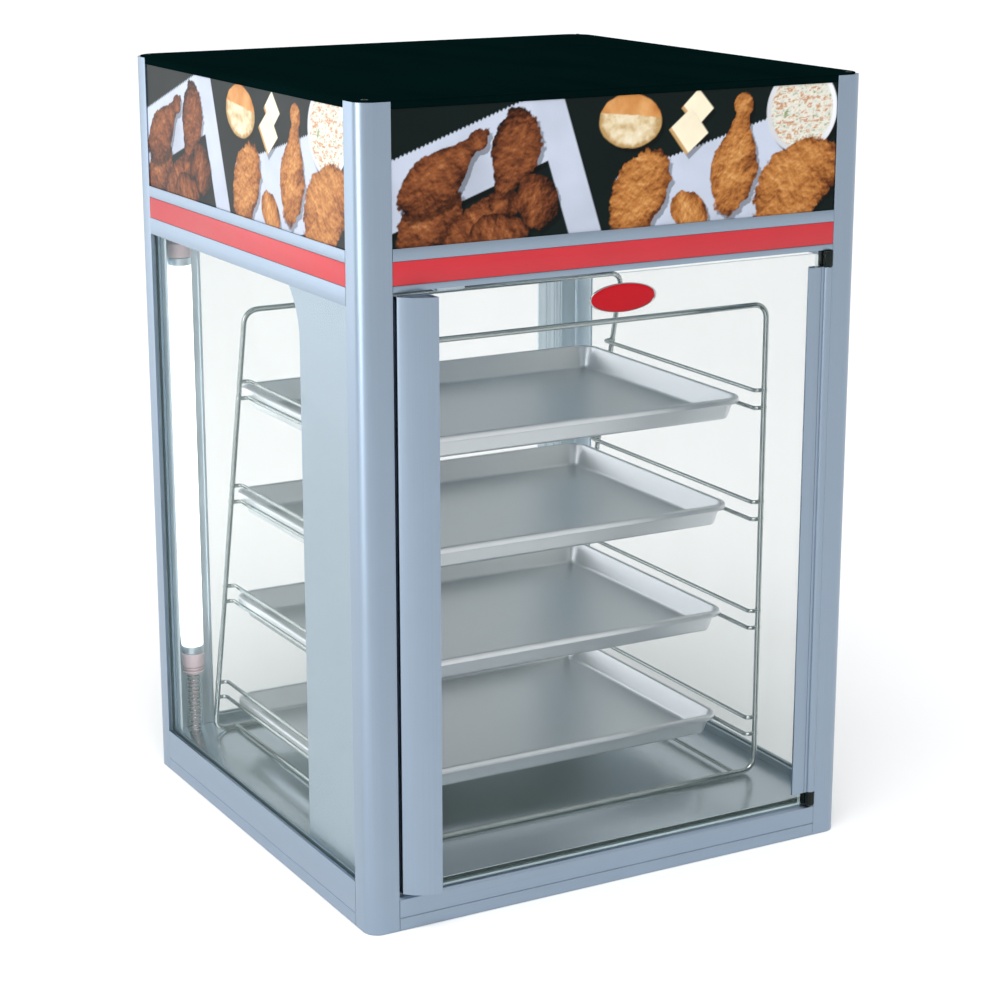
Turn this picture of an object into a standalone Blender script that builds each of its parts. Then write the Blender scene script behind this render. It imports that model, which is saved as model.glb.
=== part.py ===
"""Countertop food holding cabinet: glazed chamber, hinged glass door, wire rack, pans and blower head.

Metres, +Z up. X runs to the right, Y to the back, and the door is at the front.
The origin is on the counter, below the middle of the overall box.
Sizes "from the left" or "from the front" count from the outer faces of the corner pillars.
"""

from math import atan2, cos, pi, radians, sin, sqrt

import bmesh
import bpy
from mathutils import Vector

MM = 0.001

# Overall sizes
WIDTH = 572 * MM
DEPTH = 560 * MM
HEIGHT = 825 * MM

# Clearances
GAP = 0.3 * MM  # between pieces that touch
DOOR_GAP = 3.0 * MM  # above and below the door
HANDLE_GAP = 3.0 * MM  # between the handle and the pillar beside it
RUNNING_GAP = 0.3 * MM  # between a pin and its bore

# Corner pillars, sills and glazing
PILLAR_LEG = 33 * MM
PILLAR_RADIUS = 25 * MM
WALL = 11 * MM  # depth of the pillars, side sills and header rails
GLASS = 4 * MM
GLASS_INSET = 4 * MM
GLASS_SEAT = 8 * MM
SILL_HEIGHT = 47.5 * MM
SILL_INNER_HEIGHT = 56 * MM
FRONT_SILL_HEIGHT = 35 * MM
FRONT_SILL_DEPTH = 16 * MM
DOOR_LEDGE = 1.5 * MM
LEDGE_BEHIND_DOOR = 2 * MM
GROOVE_HEIGHT = 13.5 * MM
GROOVE = 0.8 * MM
SHEET = 1.2 * MM
FLOOR_HEIGHT = 40 * MM

# Header
LID = 2 * MM
LID_LIP = 7 * MM
LID_LIP_SHEET = 2 * MM
LID_LIP_INSET = 0.5 * MM
SIGN = 2.5 * MM
SIGN_INSET = 1.5 * MM
SIGN_SEAT = 5 * MM
FRONT_SIGN_HEIGHT = 129 * MM
SIDE_SIGN_HEIGHT = 132 * MM
FRONT_RAIL_HEIGHT = 41 * MM
SIDE_RAIL_HEIGHT = 53 * MM
STRIP_HEIGHT = 23 * MM
STRIP_BELOW_SIGN = 12 * MM
STRIP = 0.8 * MM

# Door
DOOR_GLASS = 5 * MM
DOOR_GLASS_INSET = 1.5 * MM
HANDLE_WIDTH = 35 * MM
HANDLE_PROUD = 20 * MM
HANDLE_BULGE = 6 * MM
HANDLE_STEPS = 12
HANDLE_WALL = 2.6 * MM
HANDLE_BACK_LIP = 20 * MM
HANDLE_FROM_FOOT = 2 * MM
HANDLE_FROM_TOP = 1 * MM
HINGE_FROM_PILLAR = 6 * MM
BEAD_RADIUS = 5 * MM
BEAD_END = 100  # degrees round the bead where it meets the stile's back
BEAD_STEPS = 14
STILE_WIDTH = 19 * MM
STILE_LIP = 2.4 * MM
STILE_GRIP = 13 * MM
BOTTOM_BLOCK_HEIGHT = 15 * MM
TOP_BLOCK_HEIGHT = 16.5 * MM
PIVOT_BLOCK_HALF = 6.3 * MM
PIVOT_BLOCK_NEAR = 6 * MM  # from the pivot axis to the block's face
PIN_RADIUS = 2.2 * MM
PIN_REACH = 10 * MM
EMBLEM_WIDTH = 77 * MM
EMBLEM_HEIGHT = 29 * MM
EMBLEM = 2 * MM
EMBLEM_BELOW_TOP = 24 * MM  # to the oval's centre
EMBLEM_SIDES = 32
CATCH_SIZE = (30 * MM, 12 * MM, 11 * MM)
CATCH_FROM_HANDLE = 12 * MM

# Wire rack
RACK_MIDDLE = 6 * MM  # the rack stands this far right of the middle, clear of the air duct
LEG_WIRE = 3.0 * MM
RAIL_WIRE = 2.25 * MM
HOOP_RADIUS = 15 * MM
RAIL_BEND = 6 * MM
LEG_SIDES = 3  # bevel resolution of the thick wires
RACK_FRONT = 103 * MM
RACK_FRONT_TOP = 573 * MM
RACK_REAR_TOP = 562 * MM
RACK_REAR_FOOT_BACK = 515 * MM
RACK_REAR_TOP_BACK = 395 * MM
SIDE_STUB = 11 * MM  # from a rail out to the leg that holds it
FOOT_WIRE_INSET = 27 * MM
FLOOR_WIRE_LIFT = 1 * MM
FIRST_RAIL = 86 * MM
LEVEL_PITCH = 124.5 * MM
GUARD_ABOVE_RAIL = 19.5 * MM

# Pans
PAN_WIDTH = 457 * MM
PAN_LENGTH = 330 * MM
PAN_DEPTH = 25 * MM
PAN_RIM = 5 * MM
PAN_LIP = 7 * MM
PAN_SLOPE = 7.5 * MM
PAN_CORNER = 22 * MM
PAN_SHEET = 1.0 * MM
PAN_SETBACKS = (50 * MM, 44 * MM, 38 * MM, 17 * MM)  # behind the front hoop, from the lowest up

# Lamp and corner channels
LAMP_RADIUS = 12.7 * MM
LAMP_FROM_SIDE = 34 * MM
LAMP_FROM_REAR = 30 * MM
LAMP_FOOT = 138 * MM
LAMP_LENGTH = 464 * MM
SOCKET_RADIUS = 13.4 * MM
SOCKET_CAP = 25 * MM
SOCKET_STEM = 6 * MM
CHANNEL_REAR_LEG = 54 * MM
CHANNEL_SIDE_LEG = 36 * MM
CHANNEL_SHEET = 1.0 * MM

# Air duct and blower
DUCT_WIDTH = 31 * MM
DUCT_REACH = 130 * MM
DUCT_FLARE = 45 * MM
DUCT_FLARE_HEIGHT = 68 * MM
DUCT_SLOT = (60 * MM, 8 * MM)
DUCT_SLOTS = 5
DUCT_HOLE_INSET = 4 * MM
FLARE_STEPS = 5
BLOWER_MIDDLE = 28 * MM  # right of the middle
BLOWER_FROM_FRONT = 252 * MM
BLOWER_RADIUS = 70 * MM
BLOWER_HEIGHT = 76 * MM
BLOWER_INLET = 40 * MM
WHEEL_RADIUS = 58 * MM
WHEEL_HEIGHT = 34 * MM
WHEEL_BLADES = 12
BLADE_ROOT = 4  # degrees round the hub
BLADE_TIP = 2  # degrees round the rim
BLADE_SWEEP = 16  # degrees that the tip is ahead of the root
HUB_RADIUS = 12 * MM
SHAFT_RADIUS = 3 * MM
MOTOR_RADIUS = 32 * MM
MOTOR_HEIGHT = 52 * MM
HEATER_WIRE = 4 * MM
HEATER_SPAN = 190 * MM
HEATER_PITCH = 34 * MM
HEATER_RUNS = 4
HEATER_RISE = 14 * MM
HEATER_BEND = 10 * MM
BALLAST_SIZE = (150 * MM, 42 * MM, 30 * MM)
BALLAST_FROM_RAIL = 40 * MM
BALLAST_FROM_PANEL = 20 * MM

# Rear controls, at distances right of the middle
PANEL_BEHIND_RAIL = 20 * MM
ROCKER_PLACES = {"power_rocker": -30 * MM, "light_rocker": 0 * MM}
KNOB_PLACE = 72 * MM
GLAND_PLACE = 180 * MM
KNOB_RADIUS = 13 * MM
KNOB_HEIGHT = 9.5 * MM
KNOB_STEM = 3 * MM
KNOB_STEM_REACH = 6 * MM
KNOB_POINTER = 4 * MM
ROCKER_SIZE = (14 * MM, 22 * MM)
ROCKER_RISE = 3 * MM
ROCKER_VALLEY = 1.2 * MM
ROCKER_ROOT = 9 * MM
ROCKER_END_GAP = 1 * MM
ROCKER_TILT = radians(8)
GLAND_RADIUS = 10 * MM
GLAND_COLLAR = 7 * MM
GLAND_HEIGHT = 9.5 * MM
GLAND_FLANGE = 3.2 * MM

# Derived places
LEFT = -WIDTH / 2
RIGHT = WIDTH / 2
FRONT = -(DEPTH + HANDLE_PROUD) / 2 + HANDLE_PROUD
REAR = FRONT + DEPTH
PILLAR_TOP = HEIGHT - LID - GAP
SIGN_TOP = HEIGHT - LID - LID_LIP - GAP
FRONT_RAIL_TOP = SIGN_TOP - FRONT_SIGN_HEIGHT
FRONT_RAIL_FOOT = FRONT_RAIL_TOP - FRONT_RAIL_HEIGHT
SIDE_RAIL_TOP = SIGN_TOP - SIDE_SIGN_HEIGHT
SIDE_RAIL_FOOT = SIDE_RAIL_TOP - SIDE_RAIL_HEIGHT
SLOT_NEAR = GLASS_INSET - GAP
SLOT_FAR = GLASS_INSET + GLASS + GAP
CEILING = FRONT_RAIL_FOOT
INNER = WALL + GAP

DOOR_FOOT = FRONT_SILL_HEIGHT + DOOR_GAP
DOOR_TOP = FRONT_RAIL_FOOT - DOOR_GAP
DOOR_NEAR = FRONT + DOOR_GLASS_INSET
DOOR_FAR = DOOR_NEAR + DOOR_GLASS
HINGE_X = RIGHT - PILLAR_LEG - HINGE_FROM_PILLAR
HINGE_Y = FRONT
BLOCK_FOOT = FRONT_SILL_HEIGHT + DOOR_LEDGE + GAP
STILE_FOOT = BLOCK_FOOT + BOTTOM_BLOCK_HEIGHT + GAP
STILE_TOP = FRONT_RAIL_FOOT - 2 * GAP - TOP_BLOCK_HEIGHT
HANDLE_LEFT = LEFT + PILLAR_LEG + HANDLE_GAP
HANDLE_RIGHT = HANDLE_LEFT + HANDLE_WIDTH

LEVELS = len(PAN_SETBACKS)
RAIL_SPREAD = PAN_WIDTH / 2 - PAN_SHEET / 2
LEG_SPREAD = RAIL_SPREAD + SIDE_STUB
RACK_FOOT = FLOOR_HEIGHT + GAP + LEG_WIRE
HOOP_END = HOOP_RADIUS + 2 * LEG_WIRE

DUCT_LEFT = LEFT + WALL + GAP
DUCT_FRONT = FRONT + PILLAR_LEG + GAP
LAMP_X = LEFT + LAMP_FROM_SIDE
LAMP_Y = REAR - LAMP_FROM_REAR

BLOWER_X = BLOWER_MIDDLE
BLOWER_Y = FRONT + BLOWER_FROM_FRONT
HEADER_FLOOR = CEILING + SHEET
BLOWER_TOP = HEADER_FLOOR + GAP + BLOWER_HEIGHT
PANEL_NEAR = REAR - WALL - GAP - SHEET
CONTROL_Z = (SIDE_RAIL_TOP + SIGN_TOP) / 2


def clear_scene():
    for obj in list(bpy.data.objects):
        bpy.data.objects.remove(obj, do_unlink=True)


def new_collection(name, hidden=False):
    found = bpy.data.collections.new(name)
    bpy.context.scene.collection.children.link(found)
    found.hide_render = hidden
    return found


def finish_material(name, color, roughness, metallic=0.0, alpha=1.0):
    material = bpy.data.materials.new(name)
    material.use_nodes = True
    shader = material.node_tree.nodes["Principled BSDF"]
    shader.inputs["Base Color"].default_value = (*color, 1.0)
    shader.inputs["Roughness"].default_value = roughness
    shader.inputs["Metallic"].default_value = metallic
    shader.inputs["Alpha"].default_value = alpha
    material.diffuse_color = (*color, alpha)
    return material


def make_materials():
    return {
        "anodised": finish_material("anodised_aluminium", (0.55, 0.62, 0.70), 0.35, 1.0),
        "black": finish_material("black_enamel", (0.008, 0.014, 0.013), 0.12),
        "glass": finish_material("clear_glass", (0.80, 0.88, 0.86), 0.03, 0.0, 0.25),
        "stainless": finish_material("brushed_stainless", (0.55, 0.58, 0.60), 0.28, 1.0),
        "chrome": finish_material("chrome_wire", (0.72, 0.74, 0.74), 0.12, 1.0),
        "pan": finish_material("pan_aluminium", (0.68, 0.70, 0.73), 0.40, 1.0),
        "red": finish_material("red_strip", (0.72, 0.045, 0.05), 0.35),
        "sign": finish_material("sign_film", (0.10, 0.06, 0.035), 0.30),
        "hinge": finish_material("hinge_nylon", (0.012, 0.014, 0.014), 0.45),
        "lamp": finish_material("lamp_glass", (0.95, 0.94, 0.88), 0.20),
        "socket": finish_material("lamp_holder", (0.78, 0.70, 0.72), 0.40),
        "knob": finish_material("control_plastic", (0.02, 0.02, 0.022), 0.40),
        "steel": finish_material("zinc_steel", (0.50, 0.51, 0.52), 0.38, 1.0),
    }


def put(obj, material, collection=None):
    obj.data.materials.clear()
    obj.data.materials.append(material)
    for other in list(obj.users_collection):
        other.objects.unlink(obj)
    (collection or PARTS).objects.link(obj)
    return obj


def mesh_object(name, bm, material, collection=None):
    mesh = bpy.data.meshes.new(name)
    bm.to_mesh(mesh)
    bm.free()
    return put_new(name, mesh, material, collection)


def put_new(name, data, material, collection=None):
    obj = bpy.data.objects.new(name, data)
    (collection or PARTS).objects.link(obj)
    data.materials.append(material)
    return obj


def box(name, low, high, material, bevel=0.0, collection=None):
    """An upright box between two corners, with its edges rounded when bevel is set."""
    low, high = Vector(low), Vector(high)
    bm = bmesh.new()
    bmesh.ops.create_cube(bm, size=1.0)
    bmesh.ops.scale(bm, vec=high - low, verts=bm.verts)
    obj = mesh_object(name, bm, material, collection)
    obj.location = (low + high) / 2
    if bevel:
        rounding = obj.modifiers.new("edges", "BEVEL")
        rounding.width = bevel
        rounding.segments = 2
    return obj


def cylinder(name, radius, low, high, centre, material, axis="Z", sides=24, collection=None):
    """A round bar from low to high along one axis, centred on the two other coordinates."""
    bm = bmesh.new()
    bmesh.ops.create_cone(
        bm, cap_ends=True, segments=sides, radius1=radius, radius2=radius, depth=high - low
    )
    obj = mesh_object(name, bm, material, collection)
    middle = (low + high) / 2
    if axis == "Z":
        obj.location = (centre[0], centre[1], middle)
    else:
        obj.location = (centre[0], middle, centre[1])
        obj.rotation_euler = (radians(90), 0, 0)
    shade_round(obj.data)
    return obj


def shade_round(mesh):
    mesh.shade_smooth()
    mesh.set_sharp_from_angle(angle=radians(35))


def extrusion(name, outlines, axis, low, high, material, collection=None):
    """Flat outlines, the first outside and the rest holes, drawn out along one axis.

    Outlines are in the plane of the other two axes, in X, Y, Z order.
    """
    curve = bpy.data.curves.new(name, "CURVE")
    curve.dimensions = "2D"
    curve.fill_mode = "BOTH"
    curve.extrude = (high - low) / 2
    for outline in outlines:
        spline = curve.splines.new("POLY")
        spline.points.add(len(outline) - 1)
        for point, (u, v) in zip(spline.points, outline):
            point.co = (u, v, 0, 1)
        spline.use_cyclic_u = True
    obj = put_new(name, curve, material, collection)
    middle = (low + high) / 2
    if axis == "Z":
        obj.location = (0, 0, middle)
    elif axis == "X":
        obj.location = (middle, 0, 0)
        obj.rotation_euler = (radians(90), 0, radians(90))
    else:
        obj.location = (0, middle, 0)
        obj.rotation_euler = (radians(90), 0, 0)
    return obj


def as_mesh(obj):
    """Replaces a curve object by its welded mesh, so that it can be cut or joined."""
    bpy.context.view_layer.update()
    graph = bpy.context.evaluated_depsgraph_get()
    mesh = bpy.data.meshes.new_from_object(obj.evaluated_get(graph))
    bm = bmesh.new()
    bm.from_mesh(mesh)
    bmesh.ops.remove_doubles(bm, verts=bm.verts, dist=0.01 * MM)
    bmesh.ops.recalc_face_normals(bm, faces=bm.faces)
    bm.to_mesh(mesh)
    bm.free()
    name, collection, place = obj.name, obj.users_collection[0], obj.matrix_world.copy()
    bpy.data.objects.remove(obj, do_unlink=True)
    made = bpy.data.objects.new(name, mesh)
    collection.objects.link(made)
    made.matrix_world = place
    return made


def cut(target, cutter, operation="DIFFERENCE"):
    """Cuts one helper from a piece, or joins it on."""
    cutter.hide_render = True
    cutter.display_type = "WIRE"
    step = target.modifiers.new(cutter.name, "BOOLEAN")
    step.operation = operation
    step.object = cutter


def arc(centre, radius, start, end, steps):
    """Points round a centre from one angle to another, in degrees."""
    turn = [radians(start + (end - start) * i / steps) for i in range(steps + 1)]
    return [(centre[0] + radius * cos(a), centre[1] + radius * sin(a)) for a in turn]


def rounded_path(corners, radius, steps=4):
    """A path whose inner corners are turned into arcs of one radius, in space."""
    points = [Vector(corners[0])]
    for before, corner, after in zip(corners, corners[1:], corners[2:]):
        corner = Vector(corner)
        back = (Vector(before) - corner).normalized()
        on = (Vector(after) - corner).normalized()
        half = back.angle(on) / 2
        reach = radius / abs(sin(half) / cos(half))
        hub = corner + (back + on).normalized() * (radius / sin(half))
        start, end = corner + back * reach - hub, corner + on * reach - hub
        sweep = start.angle(end)
        for i in range(steps + 1):
            share = i / steps
            ray = start * sin(sweep * (1 - share)) + end * sin(sweep * share)
            points.append(hub + ray / sin(sweep))
    return points + [Vector(corners[-1])]


def wire(name, points, radius, material, collection=None, sides=2, cyclic=False):
    """A round wire along a path, with flat ends."""
    curve = bpy.data.curves.new(name, "CURVE")
    curve.dimensions = "3D"
    curve.bevel_depth = radius
    curve.bevel_resolution = sides
    curve.use_fill_caps = True
    spline = curve.splines.new("POLY")
    spline.points.add(len(points) - 1)
    for point, place in zip(spline.points, points):
        point.co = (*place, 1)
    spline.use_cyclic_u = cyclic
    return put_new(name, curve, material, collection)


def turned(name, profile, centre, material, ring=False, steps=24):
    """A turned piece, from (radius, height) points that run down its outer side.

    A ring is a closed section that never meets the axis.
    """
    count = len(profile)
    edges = [(i, (i + 1) % count) for i in range(count if ring else count - 1)]
    mesh = bpy.data.meshes.new(name)
    mesh.from_pydata([(r, 0, z) for r, z in profile], edges, [])
    obj = put_new(name, mesh, material)
    obj.location = (centre[0], centre[1], 0)
    screw = obj.modifiers.new("turn", "SCREW")
    screw.steps = screw.render_steps = steps
    screw.use_merge_vertices = True
    screw.merge_threshold = 0.01 * MM
    screw.use_smooth_shade = False
    return obj


def mirrored(outline, turn_u=1, turn_v=1, origin=(0, 0)):
    """Places an outline from a corner, facing inwards along each axis, and keeps its direction round."""
    placed = [(origin[0] + turn_u * u, origin[1] + turn_v * v) for u, v in outline]
    return placed if turn_u * turn_v > 0 else placed[::-1]


def groove(edge, height, depth):
    """The four points of a square groove in an outer face, met on the way down."""
    high, low = height + GROOVE / 2, height - GROOVE / 2
    return [(edge, high), (edge + depth, high), (edge + depth, low), (edge, low)]


# Frame


def make_pillars():
    """Corner extrusions with a rounded outside, and a glazing slot in the end of each leg."""
    leg, seat = PILLAR_LEG, PILLAR_LEG - GLASS_SEAT
    outline = [(leg, 0), (leg, SLOT_NEAR), (seat, SLOT_NEAR), (seat, SLOT_FAR), (leg, SLOT_FAR)]
    outline += [(leg, WALL), (WALL, WALL), (WALL, leg), (SLOT_FAR, leg), (SLOT_FAR, seat), (SLOT_NEAR, seat)]
    outline += [(SLOT_NEAR, leg), (0, leg)]
    outline += arc((PILLAR_RADIUS, PILLAR_RADIUS), PILLAR_RADIUS, 180, 270, 8)
    corners = {
        "pillar_front_left": (1, 1, LEFT, FRONT),
        "pillar_front_right": (-1, 1, RIGHT, FRONT),
        "pillar_rear_left": (1, -1, LEFT, REAR),
        "pillar_rear_right": (-1, -1, RIGHT, REAR),
    }
    for name, (turn_x, turn_y, x, y) in corners.items():
        shape = mirrored(outline, turn_x, turn_y, (x, y))
        extrusion(name, [shape], "Z", 0, PILLAR_TOP, FINISH["anodised"])


def make_sills():
    """Base extrusions between the pillars: three hold the glass, and the front one is the door's ledge."""
    seat = SILL_HEIGHT - GLASS_SEAT
    side = [(0, 0), (WALL, 0), (WALL, SILL_INNER_HEIGHT), (SLOT_FAR, SILL_INNER_HEIGHT), (SLOT_FAR, seat)]
    side += [(SLOT_NEAR, seat), (SLOT_NEAR, SILL_HEIGHT), (0, SILL_HEIGHT)]
    side += groove(0, GROOVE_HEIGHT, GROOVE)
    ledge = DOOR_FAR - FRONT + LEDGE_BEHIND_DOOR
    top = FRONT_SILL_HEIGHT + DOOR_LEDGE
    front = [(0, 0), (FRONT_SILL_DEPTH, 0), (FRONT_SILL_DEPTH, top), (ledge, top)]
    front += [(ledge, FRONT_SILL_HEIGHT), (0, FRONT_SILL_HEIGHT)] + groove(0, GROOVE_HEIGHT, GROOVE)
    four_sides("sill", {"front": front, "rear": side, "left": side, "right": side})


def four_sides(title, sections):
    """Extrusions between the pillars. Each section runs inwards from the outer face, and upwards."""
    end = PILLAR_LEG + GAP
    across, along = ("X", LEFT + end, RIGHT - end), ("Y", FRONT + end, REAR - end)
    places = {
        "front": (1, FRONT, across),
        "rear": (-1, REAR, across),
        "left": (1, LEFT, along),
        "right": (-1, RIGHT, along),
    }
    for side_name, section in sections.items():
        turn, face, run = places[side_name]
        outline = mirrored(section, turn, origin=(face, 0))
        extrusion(f"{title}_{side_name}", [outline], *run, FINISH["anodised"])


def make_floor():
    """The cabinet's bottom sheet, and the stainless floor of the chamber above it."""
    low = (LEFT + INNER, FRONT + FRONT_SILL_DEPTH + GAP, 0)
    box("base_pan", low, (RIGHT - INNER, REAR - INNER, SHEET), FINISH["steel"])
    low = (*low[:2], FLOOR_HEIGHT - SHEET)
    box("floor_plate", low, (RIGHT - INNER, REAR - INNER, FLOOR_HEIGHT), FINISH["stainless"])


def make_glazing():
    """Fixed panes, seated in the slots of the pillars, sills and header rails."""
    end = PILLAR_LEG - GLASS_SEAT + GAP
    foot, top = SILL_HEIGHT - GLASS_SEAT + GAP, SIDE_RAIL_FOOT + GLASS_SEAT - GAP
    near, far = GLASS_INSET, GLASS_INSET + GLASS
    box("glass_left", (LEFT + near, FRONT + end, foot), (LEFT + far, REAR - end, top), FINISH["glass"])
    box("glass_right", (RIGHT - far, FRONT + end, foot), (RIGHT - near, REAR - end, top), FINISH["glass"])
    box("glass_rear", (LEFT + end, REAR - far, foot), (RIGHT - end, REAR - near, top), FINISH["glass"])


# Header


def rail_outline(foot, top, glazed, striped):
    """Section of a header rail: glazing slot below, sign slot above, and a recess for the strip."""
    outline = [(0, foot)]
    if glazed:
        seat = foot + GLASS_SEAT
        outline += [(SLOT_NEAR, foot), (SLOT_NEAR, seat), (SLOT_FAR, seat), (SLOT_FAR, foot)]
    near, far, seat = SIGN_INSET - GAP, SIGN_INSET + SIGN + GAP, top - SIGN_SEAT
    outline += [(WALL, foot), (WALL, top), (far, top), (far, seat), (near, seat), (near, top), (0, top)]
    if striped:
        high, low, depth = top - STRIP_BELOW_SIGN, top - STRIP_BELOW_SIGN - STRIP_HEIGHT, STRIP + GAP
        outline += [(0, high), (depth, high), (depth, low), (0, low)]
    return outline


def make_header():
    """Rails above the chamber, the coloured strips let into them, and the sign panels."""
    front = rail_outline(FRONT_RAIL_FOOT, FRONT_RAIL_TOP, False, True)
    side = rail_outline(SIDE_RAIL_FOOT, SIDE_RAIL_TOP, True, True)
    rear = rail_outline(SIDE_RAIL_FOOT, SIDE_RAIL_TOP, True, False)
    four_sides("header_rail", {"front": front, "rear": rear, "left": side, "right": side})
    sides = {"front": FRONT_RAIL_TOP, "left": SIDE_RAIL_TOP, "right": SIDE_RAIL_TOP}
    for side_name, top in sides.items():
        high = top - STRIP_BELOW_SIGN - GAP
        low = high - STRIP_HEIGHT + 2 * GAP
        header_panel(f"strip_{side_name}", side_name, 0, STRIP, low, high, FINISH["red"])
        foot = top - SIGN_SEAT + GAP
        header_panel(f"sign_{side_name}", side_name, SIGN_INSET, SIGN, foot, SIGN_TOP, FINISH["sign"])


def header_panel(name, side_name, inset, thickness, low, high, material):
    """A flat strip or panel on one side of the header, between two pillars."""
    end = PILLAR_LEG + GAP
    if side_name == "front":
        corners = (LEFT + end, FRONT + inset, low), (RIGHT - end, FRONT + inset + thickness, high)
    elif side_name == "left":
        corners = (LEFT + inset, FRONT + end, low), (LEFT + inset + thickness, REAR - end, high)
    else:
        corners = (RIGHT - inset - thickness, FRONT + end, low), (RIGHT - inset, REAR - end, high)
    box(name, *corners, material)


def make_top_cover():
    """A flat lid with rounded corners and a lip turned down between the pillars."""
    r = PILLAR_RADIUS
    outline = arc((RIGHT - r, REAR - r), r, 0, 90, 6) + arc((LEFT + r, REAR - r), r, 90, 180, 6)
    outline += arc((LEFT + r, FRONT + r), r, 180, 270, 6) + arc((RIGHT - r, FRONT + r), r, 270, 360, 6)
    lid = as_mesh(extrusion("top_cover", [outline], "Z", HEIGHT - LID, HEIGHT, FINISH["black"]))
    put(lid, FINISH["black"])
    end, lip, inset = PILLAR_LEG + GAP, LID_LIP_SHEET, LID_LIP_INSET
    low, high = HEIGHT - LID - LID_LIP, HEIGHT - LID / 2
    lips = {
        "lip_front": ((LEFT + end, FRONT + inset), (RIGHT - end, FRONT + inset + lip)),
        "lip_rear": ((LEFT + end, REAR - inset - lip), (RIGHT - end, REAR - inset)),
        "lip_left": ((LEFT + inset, FRONT + end), (LEFT + inset + lip, REAR - end)),
        "lip_right": ((RIGHT - inset - lip, FRONT + end), (RIGHT - inset, REAR - end)),
    }
    for name, (near, far) in lips.items():
        cut(lid, box(name, (*near, low), (*far, high), FINISH["black"], collection=CUTTERS), "UNION")


def make_ceiling():
    """The sheet between chamber and header, open above the air duct and below the blower."""
    low, high = (LEFT + INNER, FRONT + INNER, CEILING), (RIGHT - INNER, REAR - INNER, CEILING + SHEET)
    ceiling = box("ceiling_plate", low, high, FINISH["stainless"])
    spare, inset = 2 * SHEET, DUCT_HOLE_INSET
    inlet = cylinder(
        "blower_hole", BLOWER_INLET, CEILING - spare, CEILING + spare, (BLOWER_X, BLOWER_Y),
        FINISH["stainless"], collection=CUTTERS,
    )
    outlet = box(
        "duct_hole",
        (DUCT_LEFT + inset, DUCT_FRONT + inset, CEILING - spare),
        (DUCT_LEFT + DUCT_WIDTH - inset, DUCT_FRONT + DUCT_REACH - inset, CEILING + spare),
        FINISH["stainless"],
        collection=CUTTERS,
    )
    cut(ceiling, inlet)
    cut(ceiling, outlet)


# Door


def make_door():
    """A frameless pane with a handle along one edge and a pivoting stile along the other."""
    grip = HINGE_X - BEAD_RADIUS - STILE_WIDTH + STILE_GRIP
    low = (HANDLE_LEFT + HANDLE_WALL, DOOR_NEAR, DOOR_FOOT)
    box("door_glass", low, (grip - GAP, DOOR_FAR, DOOR_TOP), FINISH["glass"])
    make_handle()
    make_stile(grip)
    middle = DOOR_TOP - EMBLEM_BELOW_TOP
    turn = [2 * pi * i / EMBLEM_SIDES for i in range(EMBLEM_SIDES)]
    oval = [(EMBLEM_WIDTH / 2 * cos(a), middle + EMBLEM_HEIGHT / 2 * sin(a)) for a in turn]
    near = DOOR_NEAR - GAP - EMBLEM
    extrusion("door_emblem", [oval], "Y", near, near + EMBLEM, FINISH["red"])
    catch_low = (HANDLE_RIGHT + CATCH_FROM_HANDLE, DOOR_FAR + GAP, CEILING - GAP - CATCH_SIZE[2])
    catch_high = [low + size for low, size in zip(catch_low, CATCH_SIZE)]
    box("door_catch", catch_low, catch_high, FINISH["hinge"], bevel=1 * MM)


def make_handle():
    """A full-height extrusion: a shallow convex face, hollow inside, with lips that grip the pane."""
    back = DOOR_FAR + GAP + HANDLE_WALL
    slot_near, slot_far = DOOR_NEAR - GAP, DOOR_FAR + GAP
    nose = FRONT - HANDLE_PROUD
    left, right = HANDLE_LEFT, HANDLE_RIGHT
    slot_end = left + HANDLE_WALL - GAP
    outline = [(right, nose), (right, slot_near), (slot_end, slot_near), (slot_end, slot_far)]
    outline += [(left + HANDLE_BACK_LIP, slot_far), (left + HANDLE_BACK_LIP, back)]
    outline += bowed((left, back), (right, nose), HANDLE_BULGE, HANDLE_STEPS)[:-1]
    hollow_right, hollow_back = right - HANDLE_WALL, slot_near - HANDLE_WALL
    bow = bowed((left, back), (right, nose), HANDLE_BULGE, HANDLE_STEPS, HANDLE_WALL)
    hollow = [(x, y) for x, y in bow if x < hollow_right and y < hollow_back - HANDLE_WALL]
    start, end = hollow[0], hollow[-1]
    hollow = [(start[0], hollow_back)] + hollow + [(hollow_right, end[1]), (hollow_right, hollow_back)]
    foot, top = DOOR_FOOT + HANDLE_FROM_FOOT, DOOR_TOP - HANDLE_FROM_TOP
    bar = as_mesh(extrusion("door_handle", [outline, hollow], "Z", foot, top, FINISH["anodised"]))
    put(bar, FINISH["anodised"])


def bowed(start, end, bulge, steps, inset=0.0):
    """Points along a circular arc between two points that stands out by bulge, to the right of the way.

    With an inset, the arc is drawn that much nearer to its centre.
    """
    dx, dy = end[0] - start[0], end[1] - start[1]
    chord = sqrt(dx * dx + dy * dy)
    radius = (chord * chord / 4 + bulge * bulge) / (2 * bulge)
    middle = ((start[0] + end[0]) / 2, (start[1] + end[1]) / 2)
    away = (dy / chord, -dx / chord)
    hub = (middle[0] - away[0] * (radius - bulge), middle[1] - away[1] * (radius - bulge))
    first = atan2(start[1] - hub[1], start[0] - hub[0])
    last = atan2(end[1] - hub[1], end[0] - hub[0])
    if last < first:
        last += 2 * pi
    turn = [first + (last - first) * i / steps for i in range(steps + 1)]
    drawn = radius - inset
    return [(hub[0] + drawn * cos(a), hub[1] + drawn * sin(a)) for a in turn]


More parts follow.
